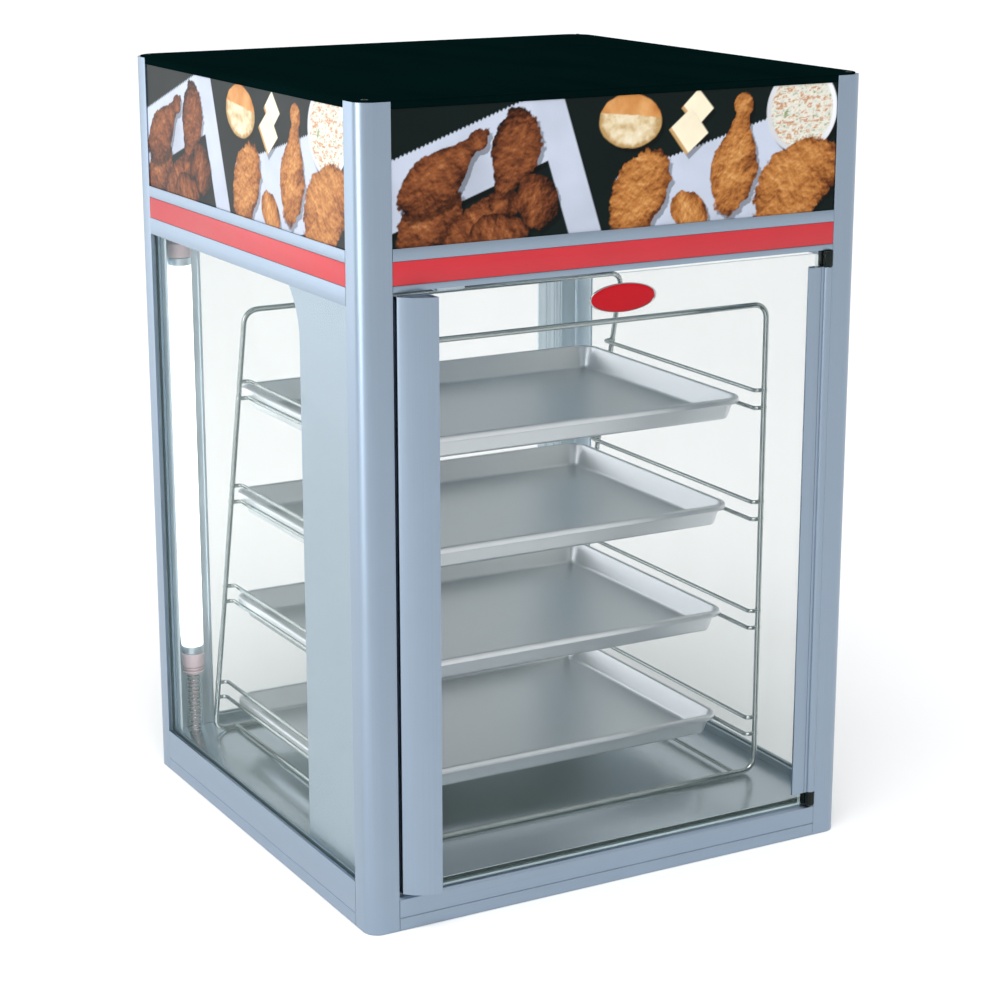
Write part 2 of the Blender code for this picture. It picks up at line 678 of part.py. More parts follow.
def make_stile(grip):
    """The hinge stile: a round bead on the pivot axis and two lips on the pane, bored for its pins."""
    r = BEAD_RADIUS
    left = HINGE_X - r - STILE_WIDTH
    near, far = DOOR_NEAR - GAP, DOOR_FAR + GAP
    front, back = near - STILE_LIP, far + STILE_LIP
    meet = HINGE_X - sqrt(r * r - (front - HINGE_Y) ** 2)
    angle = atan2(front - HINGE_Y, meet - HINGE_X) * 180 / pi
    outline = [(left, front)] + arc((HINGE_X, HINGE_Y), r, angle, BEAD_END, BEAD_STEPS)
    outline += [(HINGE_X - r + GAP, back), (left, back), (left, far), (grip, far)]
    outline += [(grip, near), (left, near)]
    stile = as_mesh(extrusion("hinge_stile", [outline], "Z", STILE_FOOT, STILE_TOP, FINISH["anodised"]))
    put(stile, FINISH["anodised"])
    make_pivots(stile)


def make_pivots(stile):
    """The blocks above and below the stile, and the pins that join each to its end."""
    plastic, bore, axis = FINISH["hinge"], PIN_RADIUS + RUNNING_GAP, (HINGE_X, HINGE_Y)
    right = min(PIVOT_BLOCK_HALF, HINGE_FROM_PILLAR - 2 * GAP)
    lower = (BLOCK_FOOT, STILE_FOOT - GAP, STILE_FOOT)
    upper = (STILE_TOP + GAP, FRONT_RAIL_FOOT - GAP, STILE_TOP)
    for name, (foot, top, joint) in {"bottom": lower, "top": upper}.items():
        near = (HINGE_X - PIVOT_BLOCK_HALF, HINGE_Y - PIVOT_BLOCK_NEAR, foot)
        block = box(f"pivot_block_{name}", near, (HINGE_X + right, DOOR_FAR + STILE_LIP, top), plastic)
        low, high = joint - PIN_REACH, joint + PIN_REACH
        hole = f"pin_bore_{name}"
        socket = cylinder(hole, bore, low - GAP, high + GAP, axis, plastic, collection=CUTTERS)
        cut(block, socket)
        cut(stile, socket)
        cylinder(f"hinge_pin_{name}", PIN_RADIUS, low, high, axis, FINISH["steel"])


# Rack and pans


def front_leg_y(z):
    """The front hoop stands upright: its distance back is the same at every height."""
    return FRONT + RACK_FRONT


def rear_leg_y(z):
    """The rear hoop leans forward: its distance back at a height."""
    share = (z - RACK_FOOT) / (RACK_REAR_TOP - RACK_FOOT)
    return FRONT + RACK_REAR_FOOT_BACK + share * (RACK_REAR_TOP_BACK - RACK_REAR_FOOT_BACK)


def make_rack():
    """Two side ladders, two top bars and a frame of wires on the floor, welded into one rack."""
    for side_name, turn in {"left": -1, "right": 1}.items():
        make_ladder(side_name, turn)
    hoop_bar("rack_front_top_bar", front_leg_y, RACK_FRONT_TOP, -HOOP_END, PARTS)
    hoop_bar("rack_rear_top_bar", rear_leg_y, RACK_REAR_TOP, -HOOP_END, PARTS)
    make_rack_foot()


def hoop_bar(name, leg_y, level, end, collection):
    """The level bar of a hoop, with both its bends, whose ends stop that far above or below it."""
    steps = ((-1, level + end), (-1, level), (1, level), (1, level + end))
    corners = [(RACK_MIDDLE + turn * LEG_SPREAD, leg_y(z), z) for turn, z in steps]
    path = rounded_path(corners, HOOP_RADIUS)
    return wire(name, path, LEG_WIRE, FINISH["chrome"], collection, LEG_SIDES)


def make_rack_foot():
    """The bottom bars of both hoops, joined by two straight wires that lie on the floor."""
    chrome = FINISH["chrome"]
    frame = put(as_mesh(hoop_bar("rack_foot_frame", front_leg_y, RACK_FOOT, HOOP_END, PARTS)), chrome)
    cut(frame, as_mesh(hoop_bar("rack_rear_foot_bar", rear_leg_y, RACK_FOOT, HOOP_END, CUTTERS)), "UNION")
    z = RACK_FOOT + FLOOR_WIRE_LIFT
    for turn in (-1, 1):
        x = RACK_MIDDLE + turn * (LEG_SPREAD - FOOT_WIRE_INSET)
        ends = [(x, front_leg_y(z), z), (x, rear_leg_y(z), z)]
        cut(frame, as_mesh(wire(f"rack_floor_wire_{turn}", ends, RAIL_WIRE, chrome, CUTTERS)), "UNION")


def make_ladder(side_name, turn):
    """One side of the rack: its two legs, and a support rail and a guard rail for each level."""
    leg_x, rail_x = RACK_MIDDLE + turn * LEG_SPREAD, RACK_MIDDLE + turn * RAIL_SPREAD
    chrome, foot = FINISH["chrome"], RACK_FOOT + HOOP_END + GAP
    front_top, rear_top = RACK_FRONT_TOP - HOOP_END - GAP, RACK_REAR_TOP - HOOP_END - GAP
    front_leg = [(leg_x, front_leg_y(z), z) for z in (foot, front_top)]
    rear_leg = [(leg_x, rear_leg_y(z), z) for z in (foot, rear_top)]
    leg = wire(f"rack_side_{side_name}", front_leg, LEG_WIRE, chrome, PARTS, LEG_SIDES)
    ladder = put(as_mesh(leg), chrome)
    joined = [wire(f"rear_leg_{side_name}", rear_leg, LEG_WIRE, chrome, CUTTERS, LEG_SIDES)]
    for level in range(LEVELS):
        for kind, rise in {"rail": 0, "guard": GUARD_ABOVE_RAIL}.items():
            z = FIRST_RAIL + level * LEVEL_PITCH + rise
            near, far = front_leg_y(z), rear_leg_y(z)
            corners = [(leg_x, near, z), (rail_x, near, z), (rail_x, far, z), (leg_x, far, z)]
            path = rounded_path(corners, RAIL_BEND, 3)
            joined.append(wire(f"{kind}_{side_name}_{level + 1}", path, RAIL_WIRE, chrome, CUTTERS))
    for helper in joined:
        cut(ladder, as_mesh(helper), "UNION")


def make_pans():
    """Sheet pans with sloped walls and a turned-down lip, each resting on its two rails."""
    for level, setback in enumerate(PAN_SETBACKS):
        lip_foot = FIRST_RAIL + level * LEVEL_PITCH + RAIL_WIRE + GAP
        pan = mesh_object(f"pan_{level + 1}", pan_surface(), FINISH["pan"])
        y = FRONT + RACK_FRONT + setback + PAN_LENGTH / 2
        pan.location = (RACK_MIDDLE, y, lip_foot + PAN_LIP)
        shell = pan.modifiers.new("sheet", "SOLIDIFY")
        shell.thickness = PAN_SHEET
        shell.offset = -1
        shade_round(pan.data)


def pan_surface():
    """The outside of a pan as an open surface, its rim level with the local origin."""
    bm = bmesh.new()
    bmesh.ops.create_cube(bm, size=1.0)
    width, length = PAN_WIDTH - 2 * PAN_RIM, PAN_LENGTH - 2 * PAN_RIM
    bmesh.ops.scale(bm, vec=(width, length, PAN_DEPTH), verts=bm.verts)
    bmesh.ops.translate(bm, vec=(0, 0, -PAN_DEPTH / 2), verts=bm.verts)
    uprights = [e for e in bm.edges if abs(e.verts[0].co.z - e.verts[1].co.z) > PAN_DEPTH / 2]
    corner = PAN_CORNER - PAN_RIM
    bmesh.ops.bevel(bm, geom=uprights, offset=corner, segments=4, profile=0.5, affect="EDGES")
    for vert in bm.verts:
        if vert.co.z < -PAN_DEPTH / 2:
            vert.co.x *= 1 - 2 * PAN_SLOPE / width
            vert.co.y *= 1 - 2 * PAN_SLOPE / length
    lid = [f for f in bm.faces if f.normal.z > 0.9]
    bmesh.ops.delete(bm, geom=lid, context="FACES_ONLY")
    for grow, drop in ((PAN_RIM, 0.0), (0.0, -PAN_LIP)):
        edges = [e for e in bm.edges if e.is_boundary]
        made = bmesh.ops.extrude_edge_only(bm, edges=edges)["geom"]
        for vert in [v for v in made if isinstance(v, bmesh.types.BMVert)]:
            vert.co.x *= 1 + 2 * grow / width
            vert.co.y *= 1 + 2 * grow / length
            vert.co.z += drop
    bmesh.ops.recalc_face_normals(bm, faces=bm.faces)
    return bm


# Lamp, air and controls


def make_lamp():
    """An upright tube lamp in the rear left corner, held between two stepped holders."""
    centre = (LAMP_X, LAMP_Y)
    top = LAMP_FOOT + LAMP_LENGTH
    cylinder("lamp_tube", LAMP_RADIUS, LAMP_FOOT, top, centre, FINISH["lamp"])
    stand = FLOOR_HEIGHT + GAP
    cap = LAMP_FOOT - GAP
    lower = [(0, cap), (SOCKET_RADIUS, cap), (SOCKET_RADIUS, cap - SOCKET_CAP)]
    lower += [(SOCKET_STEM, cap - SOCKET_CAP), (SOCKET_STEM, stand), (0, stand)]
    turned("lamp_holder_bottom", lower, centre, FINISH["socket"])
    cap, ceiling = top + GAP, CEILING - GAP
    upper = [(0, ceiling), (SOCKET_STEM, ceiling), (SOCKET_STEM, cap + SOCKET_CAP)]
    upper += [(SOCKET_RADIUS, cap + SOCKET_CAP), (SOCKET_RADIUS, cap), (0, cap)]
    turned("lamp_holder_top", upper, centre, FINISH["socket"])


def make_corner_channels():
    """Angle sheets that line both rear corners, from the floor to the ceiling."""
    sheet, rear, side = CHANNEL_SHEET, CHANNEL_REAR_LEG, CHANNEL_SIDE_LEG
    outline = [(0, 0), (rear, 0), (rear, sheet), (sheet, sheet), (sheet, side), (0, side)]
    low, high = FLOOR_HEIGHT + GAP, CEILING - GAP
    corners = {"left": (1, LEFT + INNER), "right": (-1, RIGHT - INNER)}
    for side_name, (turn, x) in corners.items():
        shape = mirrored(outline, turn, -1, (x, REAR - INNER))
        extrusion(f"corner_channel_{side_name}", [shape], "Z", low, high, FINISH["anodised"])


def duct_outline(inset):
    """Side view of the duct: an upright box that flares backwards below the ceiling."""
    front, back = DUCT_FRONT + inset, DUCT_FRONT + DUCT_REACH - inset
    foot, top = FLOOR_HEIGHT + GAP + inset, CEILING - GAP + 2 * inset
    flare_foot = CEILING - DUCT_FLARE_HEIGHT
    outline = [(front, foot), (back, foot)]
    for i in range(FLARE_STEPS + 1):
        share = i / FLARE_STEPS
        z = flare_foot + share * (CEILING - GAP - flare_foot)
        outline.append((back + DUCT_FLARE * share**2, z))
    if inset:
        outline.append((back + DUCT_FLARE, top))
    return outline + [(front, top)]


def make_duct():
    """A sheet-metal column that leads warm air down the front left corner, with outlet slots inwards."""
    right = DUCT_LEFT + DUCT_WIDTH
    metal, wall = FINISH["anodised"], SHEET
    duct = put(as_mesh(extrusion("air_duct", [duct_outline(0)], "X", DUCT_LEFT, right, metal)), metal)
    low, high = DUCT_LEFT + wall, right - wall
    cut(duct, as_mesh(extrusion("duct_hollow", [duct_outline(wall)], "X", low, high, metal, CUTTERS)))
    width, height = DUCT_SLOT
    centre_y = DUCT_FRONT + DUCT_REACH / 2
    pitch = (CEILING - DUCT_FLARE_HEIGHT - FLOOR_HEIGHT) / (DUCT_SLOTS + 1)
    for i in range(DUCT_SLOTS):
        z = FLOOR_HEIGHT + pitch * (i + 1)
        low = (right - 2 * wall, centre_y - width / 2, z - height / 2)
        high = (right + wall, centre_y + width / 2, z + height / 2)
        cut(duct, box(f"duct_slot_{i + 1}", low, high, metal, collection=CUTTERS))


def make_blower():
    """The fan in the header: drum, motor with its shaft, and the paddle wheel on the shaft."""
    centre = (BLOWER_X, BLOWER_Y)
    foot, top, wall = HEADER_FLOOR + GAP, BLOWER_TOP, SHEET
    shaft_hole = 3 * SHAFT_RADIUS
    section = [(shaft_hole, top), (BLOWER_RADIUS, top), (BLOWER_RADIUS, foot)]
    section += [(BLOWER_RADIUS - wall, foot), (BLOWER_RADIUS - wall, top - wall), (shaft_hole, top - wall)]
    turned("blower_drum", section, centre, FINISH["steel"], ring=True)
    wheel_foot = foot + (BLOWER_HEIGHT - WHEEL_HEIGHT) / 2
    motor_foot, motor_top = top + GAP, top + GAP + MOTOR_HEIGHT
    motor = [(0, motor_top), (MOTOR_RADIUS, motor_top), (MOTOR_RADIUS, motor_foot)]
    motor += [(SHAFT_RADIUS, motor_foot), (SHAFT_RADIUS, wheel_foot), (0, wheel_foot)]
    turned("blower_motor", motor, centre, FINISH["steel"])
    make_wheel(wheel_foot)


def make_wheel(foot):
    """The paddle wheel: a bored hub with swept blades."""
    outline, axis, pitch = [], (0, 0), 360 / WHEEL_BLADES
    for blade in range(WHEEL_BLADES):
        root = pitch * blade
        tip = root + BLADE_SWEEP
        outline += arc(axis, WHEEL_RADIUS, tip, tip + BLADE_TIP, 1)
        outline += arc(axis, HUB_RADIUS, root + BLADE_ROOT, root + pitch, 2)
    bore = arc(axis, SHAFT_RADIUS + RUNNING_GAP, 360, 30, 11)
    wheel = extrusion("blower_wheel", [outline, bore], "Z", foot, foot + WHEEL_HEIGHT, FINISH["steel"])
    wheel.location.x, wheel.location.y = BLOWER_X, BLOWER_Y


def make_heater():
    """A bent heating rod over the ceiling plate, beside the blower."""
    z = HEADER_FLOOR + GAP + HEATER_WIRE + HEATER_RISE
    front = BLOWER_Y - HEATER_SPAN / 2
    start = BLOWER_X - BLOWER_RADIUS - 2 * HEATER_WIRE - HEATER_RUNS * HEATER_PITCH
    corners = [(start, front, HEADER_FLOOR + GAP), (start, front, z)]
    for run in range(HEATER_RUNS):
        x = start + run * HEATER_PITCH
        ends = (front, front + HEATER_SPAN) if run % 2 == 0 else (front + HEATER_SPAN, front)
        if run:
            corners.append((x, ends[0], z))
        corners.append((x, ends[1], z))
    last = corners[-1]
    corners.append((*last[:2], HEADER_FLOOR + GAP))
    wire("heater_rod", rounded_path(corners, HEATER_BEND, 4), HEATER_WIRE, FINISH["steel"])


def make_ballast():
    """The lamp's ballast box, on the ceiling plate at the back."""
    length, width, height = BALLAST_SIZE
    x, y = LEFT + WALL + BALLAST_FROM_RAIL, PANEL_NEAR - width - BALLAST_FROM_PANEL
    z = HEADER_FLOOR + GAP
    box("lamp_ballast", (x, y, z), (x + length, y + width, z + height), FINISH["steel"], bevel=1.5 * MM)


def make_controls():
    """The rear panel, set in from the back, with two rockers, a knob and the cord gland."""
    low = (LEFT + INNER, PANEL_NEAR, SIDE_RAIL_TOP - PANEL_BEHIND_RAIL)
    high = (RIGHT - INNER, PANEL_NEAR + SHEET, SIGN_TOP - GAP)
    panel = box("rear_panel", low, high, FINISH["stainless"])
    face = PANEL_NEAR + SHEET
    for name, x in ROCKER_PLACES.items():
        make_rocker(name, x, face, panel)
    make_knob(KNOB_PLACE, face, panel)
    make_gland(GLAND_PLACE, face + GAP)


def control_bar(name, radius, low, high, x, collection=None):
    """A round piece that points backwards out of the rear panel."""
    return cylinder(name, radius, low, high, (x, CONTROL_Z), FINISH["knob"], "Y", collection=collection)


def make_gland(x, low):
    """The strain relief for the supply cord: a flange with a narrower collar."""
    gland = control_bar("cord_gland", GLAND_RADIUS, low, low + GLAND_FLANGE, x)
    cut(gland, control_bar("gland_collar", GLAND_COLLAR, low, low + GLAND_HEIGHT, x, CUTTERS), "UNION")


def make_knob(x, face, panel):
    """A pointer knob whose stem passes through a clear hole in the panel."""
    hole = KNOB_STEM + RUNNING_GAP
    cut(panel, control_bar("knob_hole", hole, PANEL_NEAR - SHEET, face + SHEET, x, CUTTERS))
    low = face + 2 * GAP
    knob = control_bar("heat_knob", KNOB_RADIUS, low, low + KNOB_HEIGHT, x)
    stem_foot = PANEL_NEAR - KNOB_STEM_REACH
    cut(knob, control_bar("knob_stem", KNOB_STEM, stem_foot, low + GAP, x, CUTTERS), "UNION")
    half, inset = KNOB_POINTER / 2, KNOB_HEIGHT / 4
    pointer = box(
        "knob_pointer",
        (x - half, low + inset, CONTROL_Z),
        (x + half, low + KNOB_HEIGHT - inset / 2, CONTROL_Z + KNOB_RADIUS + KNOB_POINTER),
        FINISH["knob"],
        collection=CUTTERS,
    )
    cut(knob, pointer, "UNION")


def make_rocker(name, x, face, panel):
    """A two-facet rocker that tips about its own middle, in a hole with running clearance."""
    width, height = ROCKER_SIZE
    half = height / 2
    hole = box(
        f"{name}_hole",
        (x - width / 2 - GAP, PANEL_NEAR - SHEET, CONTROL_Z - half - 2 * GAP),
        (x + width / 2 + GAP, face + SHEET, CONTROL_Z + half + 2 * GAP),
        FINISH["knob"],
        collection=CUTTERS,
    )
    cut(panel, hole)
    end = half - ROCKER_END_GAP
    outline = [(-ROCKER_ROOT, 0), (0, -end), (ROCKER_RISE, -end), (ROCKER_VALLEY, 0)]
    outline += [(ROCKER_RISE, end), (0, end)]
    spin_c, spin_s = cos(ROCKER_TILT), sin(ROCKER_TILT)
    tipped = [(u * spin_c - v * spin_s, u * spin_s + v * spin_c) for u, v in outline]
    rocker = extrusion(name, [tipped], "X", -width / 2, width / 2, FINISH["knob"])
    rocker.location = (x, face, CONTROL_Z)


clear_scene()
PARTS = new_collection("food_holding_cabinet")
CUTTERS = new_collection("cutters", hidden=True)
FINISH = make_materials()
make_pillars()
make_sills()
make_floor()
make_glazing()
make_header()
make_top_cover()
make_ceiling()
make_door()
make_rack()
make_pans()
make_lamp()
make_corner_channels()
make_duct()
make_blower()
make_heater()
make_ballast()
make_controls()
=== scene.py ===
"""Food holding cabinet: the finished shape and surface of every piece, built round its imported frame.

Lengths are metres. X runs to the right, Y from the door to the back, and Z up from the counter.
Each operator makes one piece or one group of like pieces, and the sidebar's panel lists them.
"""

from math import radians

import bmesh
import bpy
import numpy as np
from bpy.props import FloatProperty, FloatVectorProperty, IntProperty, PointerProperty
from mathutils import Euler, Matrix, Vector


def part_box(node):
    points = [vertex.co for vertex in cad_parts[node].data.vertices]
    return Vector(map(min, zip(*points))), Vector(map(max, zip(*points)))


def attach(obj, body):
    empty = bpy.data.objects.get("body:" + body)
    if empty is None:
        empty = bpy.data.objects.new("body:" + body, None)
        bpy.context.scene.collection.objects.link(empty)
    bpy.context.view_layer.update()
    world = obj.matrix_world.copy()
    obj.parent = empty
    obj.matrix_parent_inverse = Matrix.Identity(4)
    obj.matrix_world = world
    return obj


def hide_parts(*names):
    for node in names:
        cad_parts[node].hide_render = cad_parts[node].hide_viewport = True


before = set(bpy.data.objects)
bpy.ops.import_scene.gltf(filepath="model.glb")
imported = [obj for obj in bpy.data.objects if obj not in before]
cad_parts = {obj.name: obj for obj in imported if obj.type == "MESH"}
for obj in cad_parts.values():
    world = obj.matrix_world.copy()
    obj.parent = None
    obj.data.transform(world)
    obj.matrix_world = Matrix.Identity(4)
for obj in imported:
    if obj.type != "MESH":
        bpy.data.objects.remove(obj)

bl_info = {
    "name": "Food Holding Cabinet",
    "version": (1, 0, 0),
    "blender": (4, 5, 0),
    "location": "3D View > Sidebar > Cabinet",
    "description": "Builds a glazed countertop food holding cabinet around its mechanical frame",
    "category": "Add Mesh",
}

MM = 0.001
X, Y, Z = 0, 1, 2
GAP = 0.3 * MM  # between pieces that touch
HANDLE_SLOT = 4 * MM  # from the handle's outer edge to the edge of the pane in it
PILLARS = ("pillar_front_left", "pillar_front_right", "pillar_rear_left", "pillar_rear_right")
PANS = ("pan_1", "pan_2", "pan_3", "pan_4")
RACK_NODES = (
    "rack_side_left", "rack_side_right", "rack_front_top_bar", "rack_rear_top_bar", "rack_foot_frame",
)


# Sizes and colours that can be set


def length(name, description, millimetres):
    """A length that can be set, given in millimetres."""
    return FloatProperty(
        name=name, description=description, default=millimetres * MM, min=0.01 * MM, unit="LENGTH",
        precision=5,
    )


def colour(name, description, default):
    """A colour that can be set."""
    return FloatVectorProperty(
        name=name, description=description, default=default, subtype="COLOR", size=3, min=0, max=1
    )


def brightness(name, description, default, unit="NONE"):
    """A light's strength or power that can be set."""
    return FloatProperty(name=name, description=description, default=default, min=0, unit=unit)


class CabinetSizes(bpy.types.PropertyGroup):
    """Radii and thicknesses that the frame leaves open."""

    edge: length("Edge radius", "Rounding along the edges of extrusions and blocks", 0.4)
    pillar_radius: length("Pillar radius", "Rounding of the outer corner of each pillar", 25)
    glass_edge: length("Glass edge", "Ground edge of each pane", 0.5)
    leg_wire: length("Leg wire", "Radius of the rack's thick wire", 3)
    rail_wire: length("Rail wire", "Radius of the rack's thin wire", 2.25)
    hoop_bend: length("Hoop bend", "Radius of the corners of the rack's hoops", 15)
    rail_bend: length("Rail bend", "Radius of the corners of the rack's rails", 6)
    guard_rise: length("Guard rise", "Height of each guard rail above its support rail", 19.5)
    pan_sheet: length("Pan sheet", "Thickness of the pans", 0.9)
    pan_corner: length("Pan corner", "Outer corner radius of the pans", 22)
    handle_wall: length("Handle wall", "Wall of the hollow door handle", 2.2)
    bead_radius: length("Hinge bead", "Radius of the round bead on the hinge stile", 5)


class CabinetColours(bpy.types.PropertyGroup):
    """Colours of the finishes."""

    anodised: colour("Anodised", "Satin anodised extrusions", (0.285, 0.355, 0.44))
    cover: colour("Cover", "Gloss enamel of the top cover", (0.0006, 0.0042, 0.0042))
    stripe: colour("Stripe", "Strips let into the header", (0.50, 0.015, 0.026))
    emblem: colour("Emblem", "Plain oval on the door", (0.42, 0.001, 0.008))
    glass: colour("Glass", "Tint of the panes", (0.30, 0.42, 0.38))
    glass_edge: colour("Glass edge", "Ground edges of the panes", (0.42, 0.55, 0.53))
    pan: colour("Pan", "Plain aluminium of the pans", (0.27, 0.36, 0.46))
    stainless: colour("Stainless", "Brushed sheet of floor and ceiling", (0.58, 0.64, 0.70))
    sheet: colour("Sheet", "Pale anodised sheet of the corner channels", (0.66, 0.75, 0.82))
    duct: colour("Duct", "Anodised sheet of the air duct", (0.37, 0.44, 0.52))
    chrome: colour("Chrome", "Bright plate of the rack", (0.40, 0.43, 0.43))
    steel: colour("Steel", "Zinc-plated steel inside the header", (0.50, 0.51, 0.52))
    plastic: colour("Plastic", "Black nylon and controls", (0.0016, 0.0048, 0.0042))
    holder: colour("Lamp holder", "Pale moulded lamp holders", (0.72, 0.56, 0.60))
    lamp: colour("Lamp", "Light of the tube", (1.0, 0.985, 0.94))


class CabinetPrint(bpy.types.PropertyGroup):
    """The printed pattern on the sign panels."""

    pitch: length("Print pitch", "Distance between the points that carry the print", 1)
    backdrop: colour("Backdrop", "Dark ground of the print", (0.0018, 0.0068, 0.0062))
    paper: colour("Paper", "Sheets of paper in the print", (0.50, 0.55, 0.66))
    seed: IntProperty(name="Seed", description="Start of the print's random numbers", default=11)


class CabinetStudio(bpy.types.PropertyGroup):
    """Camera, lights and floor."""

    lens: FloatProperty(
        name="Lens", description="Focal length on a 36 mm sensor", default=89.9, min=1, unit="CAMERA"
    )
    camera_place: FloatVectorProperty(
        name="Camera place", description="Where the camera stands", default=(-1.286, -2.322, 1.068),
        subtype="TRANSLATION", unit="LENGTH",
    )
    camera_turn: FloatVectorProperty(
        name="Camera turn", description="Rotation of the camera", subtype="EULER", unit="ROTATION",
        default=(radians(74.84), 0, radians(-29.21)),
    )
    floor: colour("Floor", "Pale studio floor", (0.90, 0.90, 0.90))
    lamp_strength: brightness("Lamp strength", "Brightness of the tube", 2.2)
    sun_strength: brightness("Sun strength", "Broad overhead light", 2.2)
    key_power: brightness("Key power", "Soft box on the left", 22, "POWER")
    side_power: brightness("Side power", "Soft box behind on the left", 11, "POWER")
    world_strength: brightness("World strength", "Light from all round", 0.66)


# Points and faces


def corners(node):
    """Lowest and highest corner of a CAD node, as arrays."""
    low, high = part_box(node)
    return np.array(low), np.array(high)


def unit(vectors):
    """Vectors divided by their lengths."""
    return vectors / np.linalg.norm(vectors, axis=-1, keepdims=True)


def filleted(outline, radii, steps=5, closed=True):
    """An outline whose corners become arcs, in the plane or in space.

    An arc's centre lies on the corner's bisector, radius / sin(half its angle) from the corner, and the
    way from the centre turns evenly from one tangent point to the other. A radius is kept to what half
    of the shorter edge has room for.
    """
    outline = np.asarray(outline, float)
    before, after = np.roll(outline, 1, 0), np.roll(outline, -1, 0)
    first, last = outline[:1], outline[-1:]
    if not closed:
        before, outline, after = outline[:-2], outline[1:-1], outline[2:]
    back, on = before - outline, after - outline
    shorter = np.minimum(np.linalg.norm(back, axis=1), np.linalg.norm(on, axis=1))
    back, on = unit(back), unit(on)
    half = np.arccos(np.clip((back * on).sum(1), -1, 1)) / 2
    room = 0.49 * shorter * np.tan(half)
    radius = np.minimum(np.broadcast_to(radii, len(outline)), room)[:, None]
    centre = outline + unit(back + on) * radius / np.sin(half)[:, None]
    reach = radius / np.tan(half)[:, None]
    start, end = outline + back * reach - centre, outline + on * reach - centre
    sweep = (np.pi - 2 * half)[:, None, None]
    part = np.linspace(0, 1, steps + 1)[None, :, None]
    turned_way = start[:, None] * np.sin((1 - part) * sweep) + end[:, None] * np.sin(part * sweep)
    arcs = (centre[:, None] + turned_way / np.sin(sweep)).reshape(-1, outline.shape[1])
    return arcs if closed else np.vstack([first, arcs, last])


def arc(centre, radius, start, end, steps):
    """Points at one radius round a centre, from one angle to another in degrees."""
    angle = np.radians(np.linspace(start, end, steps + 1))
    return np.stack([centre[0] + radius * np.cos(angle), centre[1] + radius * np.sin(angle)], 1)


def bow(start, end, bulge, steps):
    """A circular arc through two points that stands out by bulge, to the right of the way.

    Its radius is (chord squared / 4 + bulge squared) / (2 * bulge).
    """
    start, end = np.array(start), np.array(end)
    chord = np.linalg.norm(end - start)
    radius = (chord**2 / 4 + bulge**2) / (2 * bulge)
    along = (end - start) / chord
    away = np.array([along[1], -along[0]])
    hub = (start + end) / 2 - away * (radius - bulge)
    reach = np.arcsin(chord / 2 / radius)
    angle = np.linspace(-reach, reach, steps + 1)[:, None]
    return hub + radius * (np.cos(angle) * away + np.sin(angle) * along)


def volume(points, faces):
    """Signed volume: a . (b x c) / 6 over the fan of triangles of every face."""
    total = 0.0
    for block in faces:
        a, b, c = points[block[:, :1]], points[block[:, 1:-1]], points[block[:, 2:]]
        total += (np.broadcast_to(a, b.shape) * np.cross(b, c)).sum() / 6
    return total


def lofted(rings, closed=False):
    """A solid from rings of points: point j of a ring joins point j of the next.

    The first and last rings are filled, unless the rings close on themselves.
    """
    count, around = rings.shape[:2]
    here = np.arange(count * around).reshape(count, around)
    corners_of_quads = [here, np.roll(here, -1, 1), np.roll(here, (-1, -1), (0, 1)), np.roll(here, -1, 0)]
    if not closed:
        corners_of_quads = [grid[:-1] for grid in corners_of_quads]
    faces = [np.stack(corners_of_quads, -1).reshape(-1, 4)]
    if not closed:
        faces += [here[:1, ::-1], here[-1:]]
    points = rings.reshape(-1, 3)
    if volume(points, faces) < 0:
        faces = [block[:, ::-1] for block in faces]
    return points, faces


def in_space(flat, axis, height):
    """Flat points, in the plane of the two other axes in X, Y, Z order, lifted to a height on axis."""
    return np.insert(np.asarray(flat, float), axis, height, axis=-1)


def prism(section, axis, low, high):
    """A section carried straight along one axis."""
    return lofted(np.stack([in_space(section, axis, low), in_space(section, axis, high)]))


def hollow(outer, inner, axis, low, high):
    """A tube between two outlines with as many points, carried along one axis and open at both ends."""
    rings = [(outer, low), (outer, high), (inner, high), (inner, low)]
    return lofted(np.stack([in_space(flat, axis, height) for flat, height in rings]), closed=True)


def corner_turns(steps):
    """For all points of four round corners: the corner's signs, and the way out from the corner's centre."""
    angle = np.radians(np.linspace(0, 90, steps) + np.array([[0], [90], [180], [270]])).ravel()
    signs = np.repeat([[1, 1], [-1, 1], [-1, -1], [1, -1]], steps, 0)
    return signs, np.stack([np.cos(angle), np.sin(angle)], 1)


def plate(low, high, axis, corner=0.0, edge=0.4 * MM, steps=4):
    """A flat piece, `axis` through its thickness, with round corners and rounded rims.

    Each ring is the outline drawn in by edge * (1 - sin t), at edge * (1 - cos t) from a face.
    """
    low, high = np.asarray(low, float), np.asarray(high, float)
    across = [k for k in (X, Y, Z) if k != axis]
    slack = 1.01
    edge = min(edge, (high - low)[axis] / (1 + slack))
    corner = max(corner, edge * slack)
    turn = np.linspace(0, np.pi / 2, steps)
    drawn, rise = edge * (1 - np.sin(turn)), edge * (1 - np.cos(turn))
    drawn = np.concatenate([drawn, drawn[::-1]])[:, None, None]
    height = np.concatenate([low[axis] + rise, high[axis] - rise[::-1]])
    signs, way = corner_turns(steps * 2)
    middle, half = (low + high)[across] / 2, (high - low)[across] / 2
    flat = middle + signs * (half - corner) + (corner - drawn) * way
    rings = np.insert(flat, axis, np.broadcast_to(height[:, None], flat.shape[:2]), axis=-1)
    return lofted(rings)


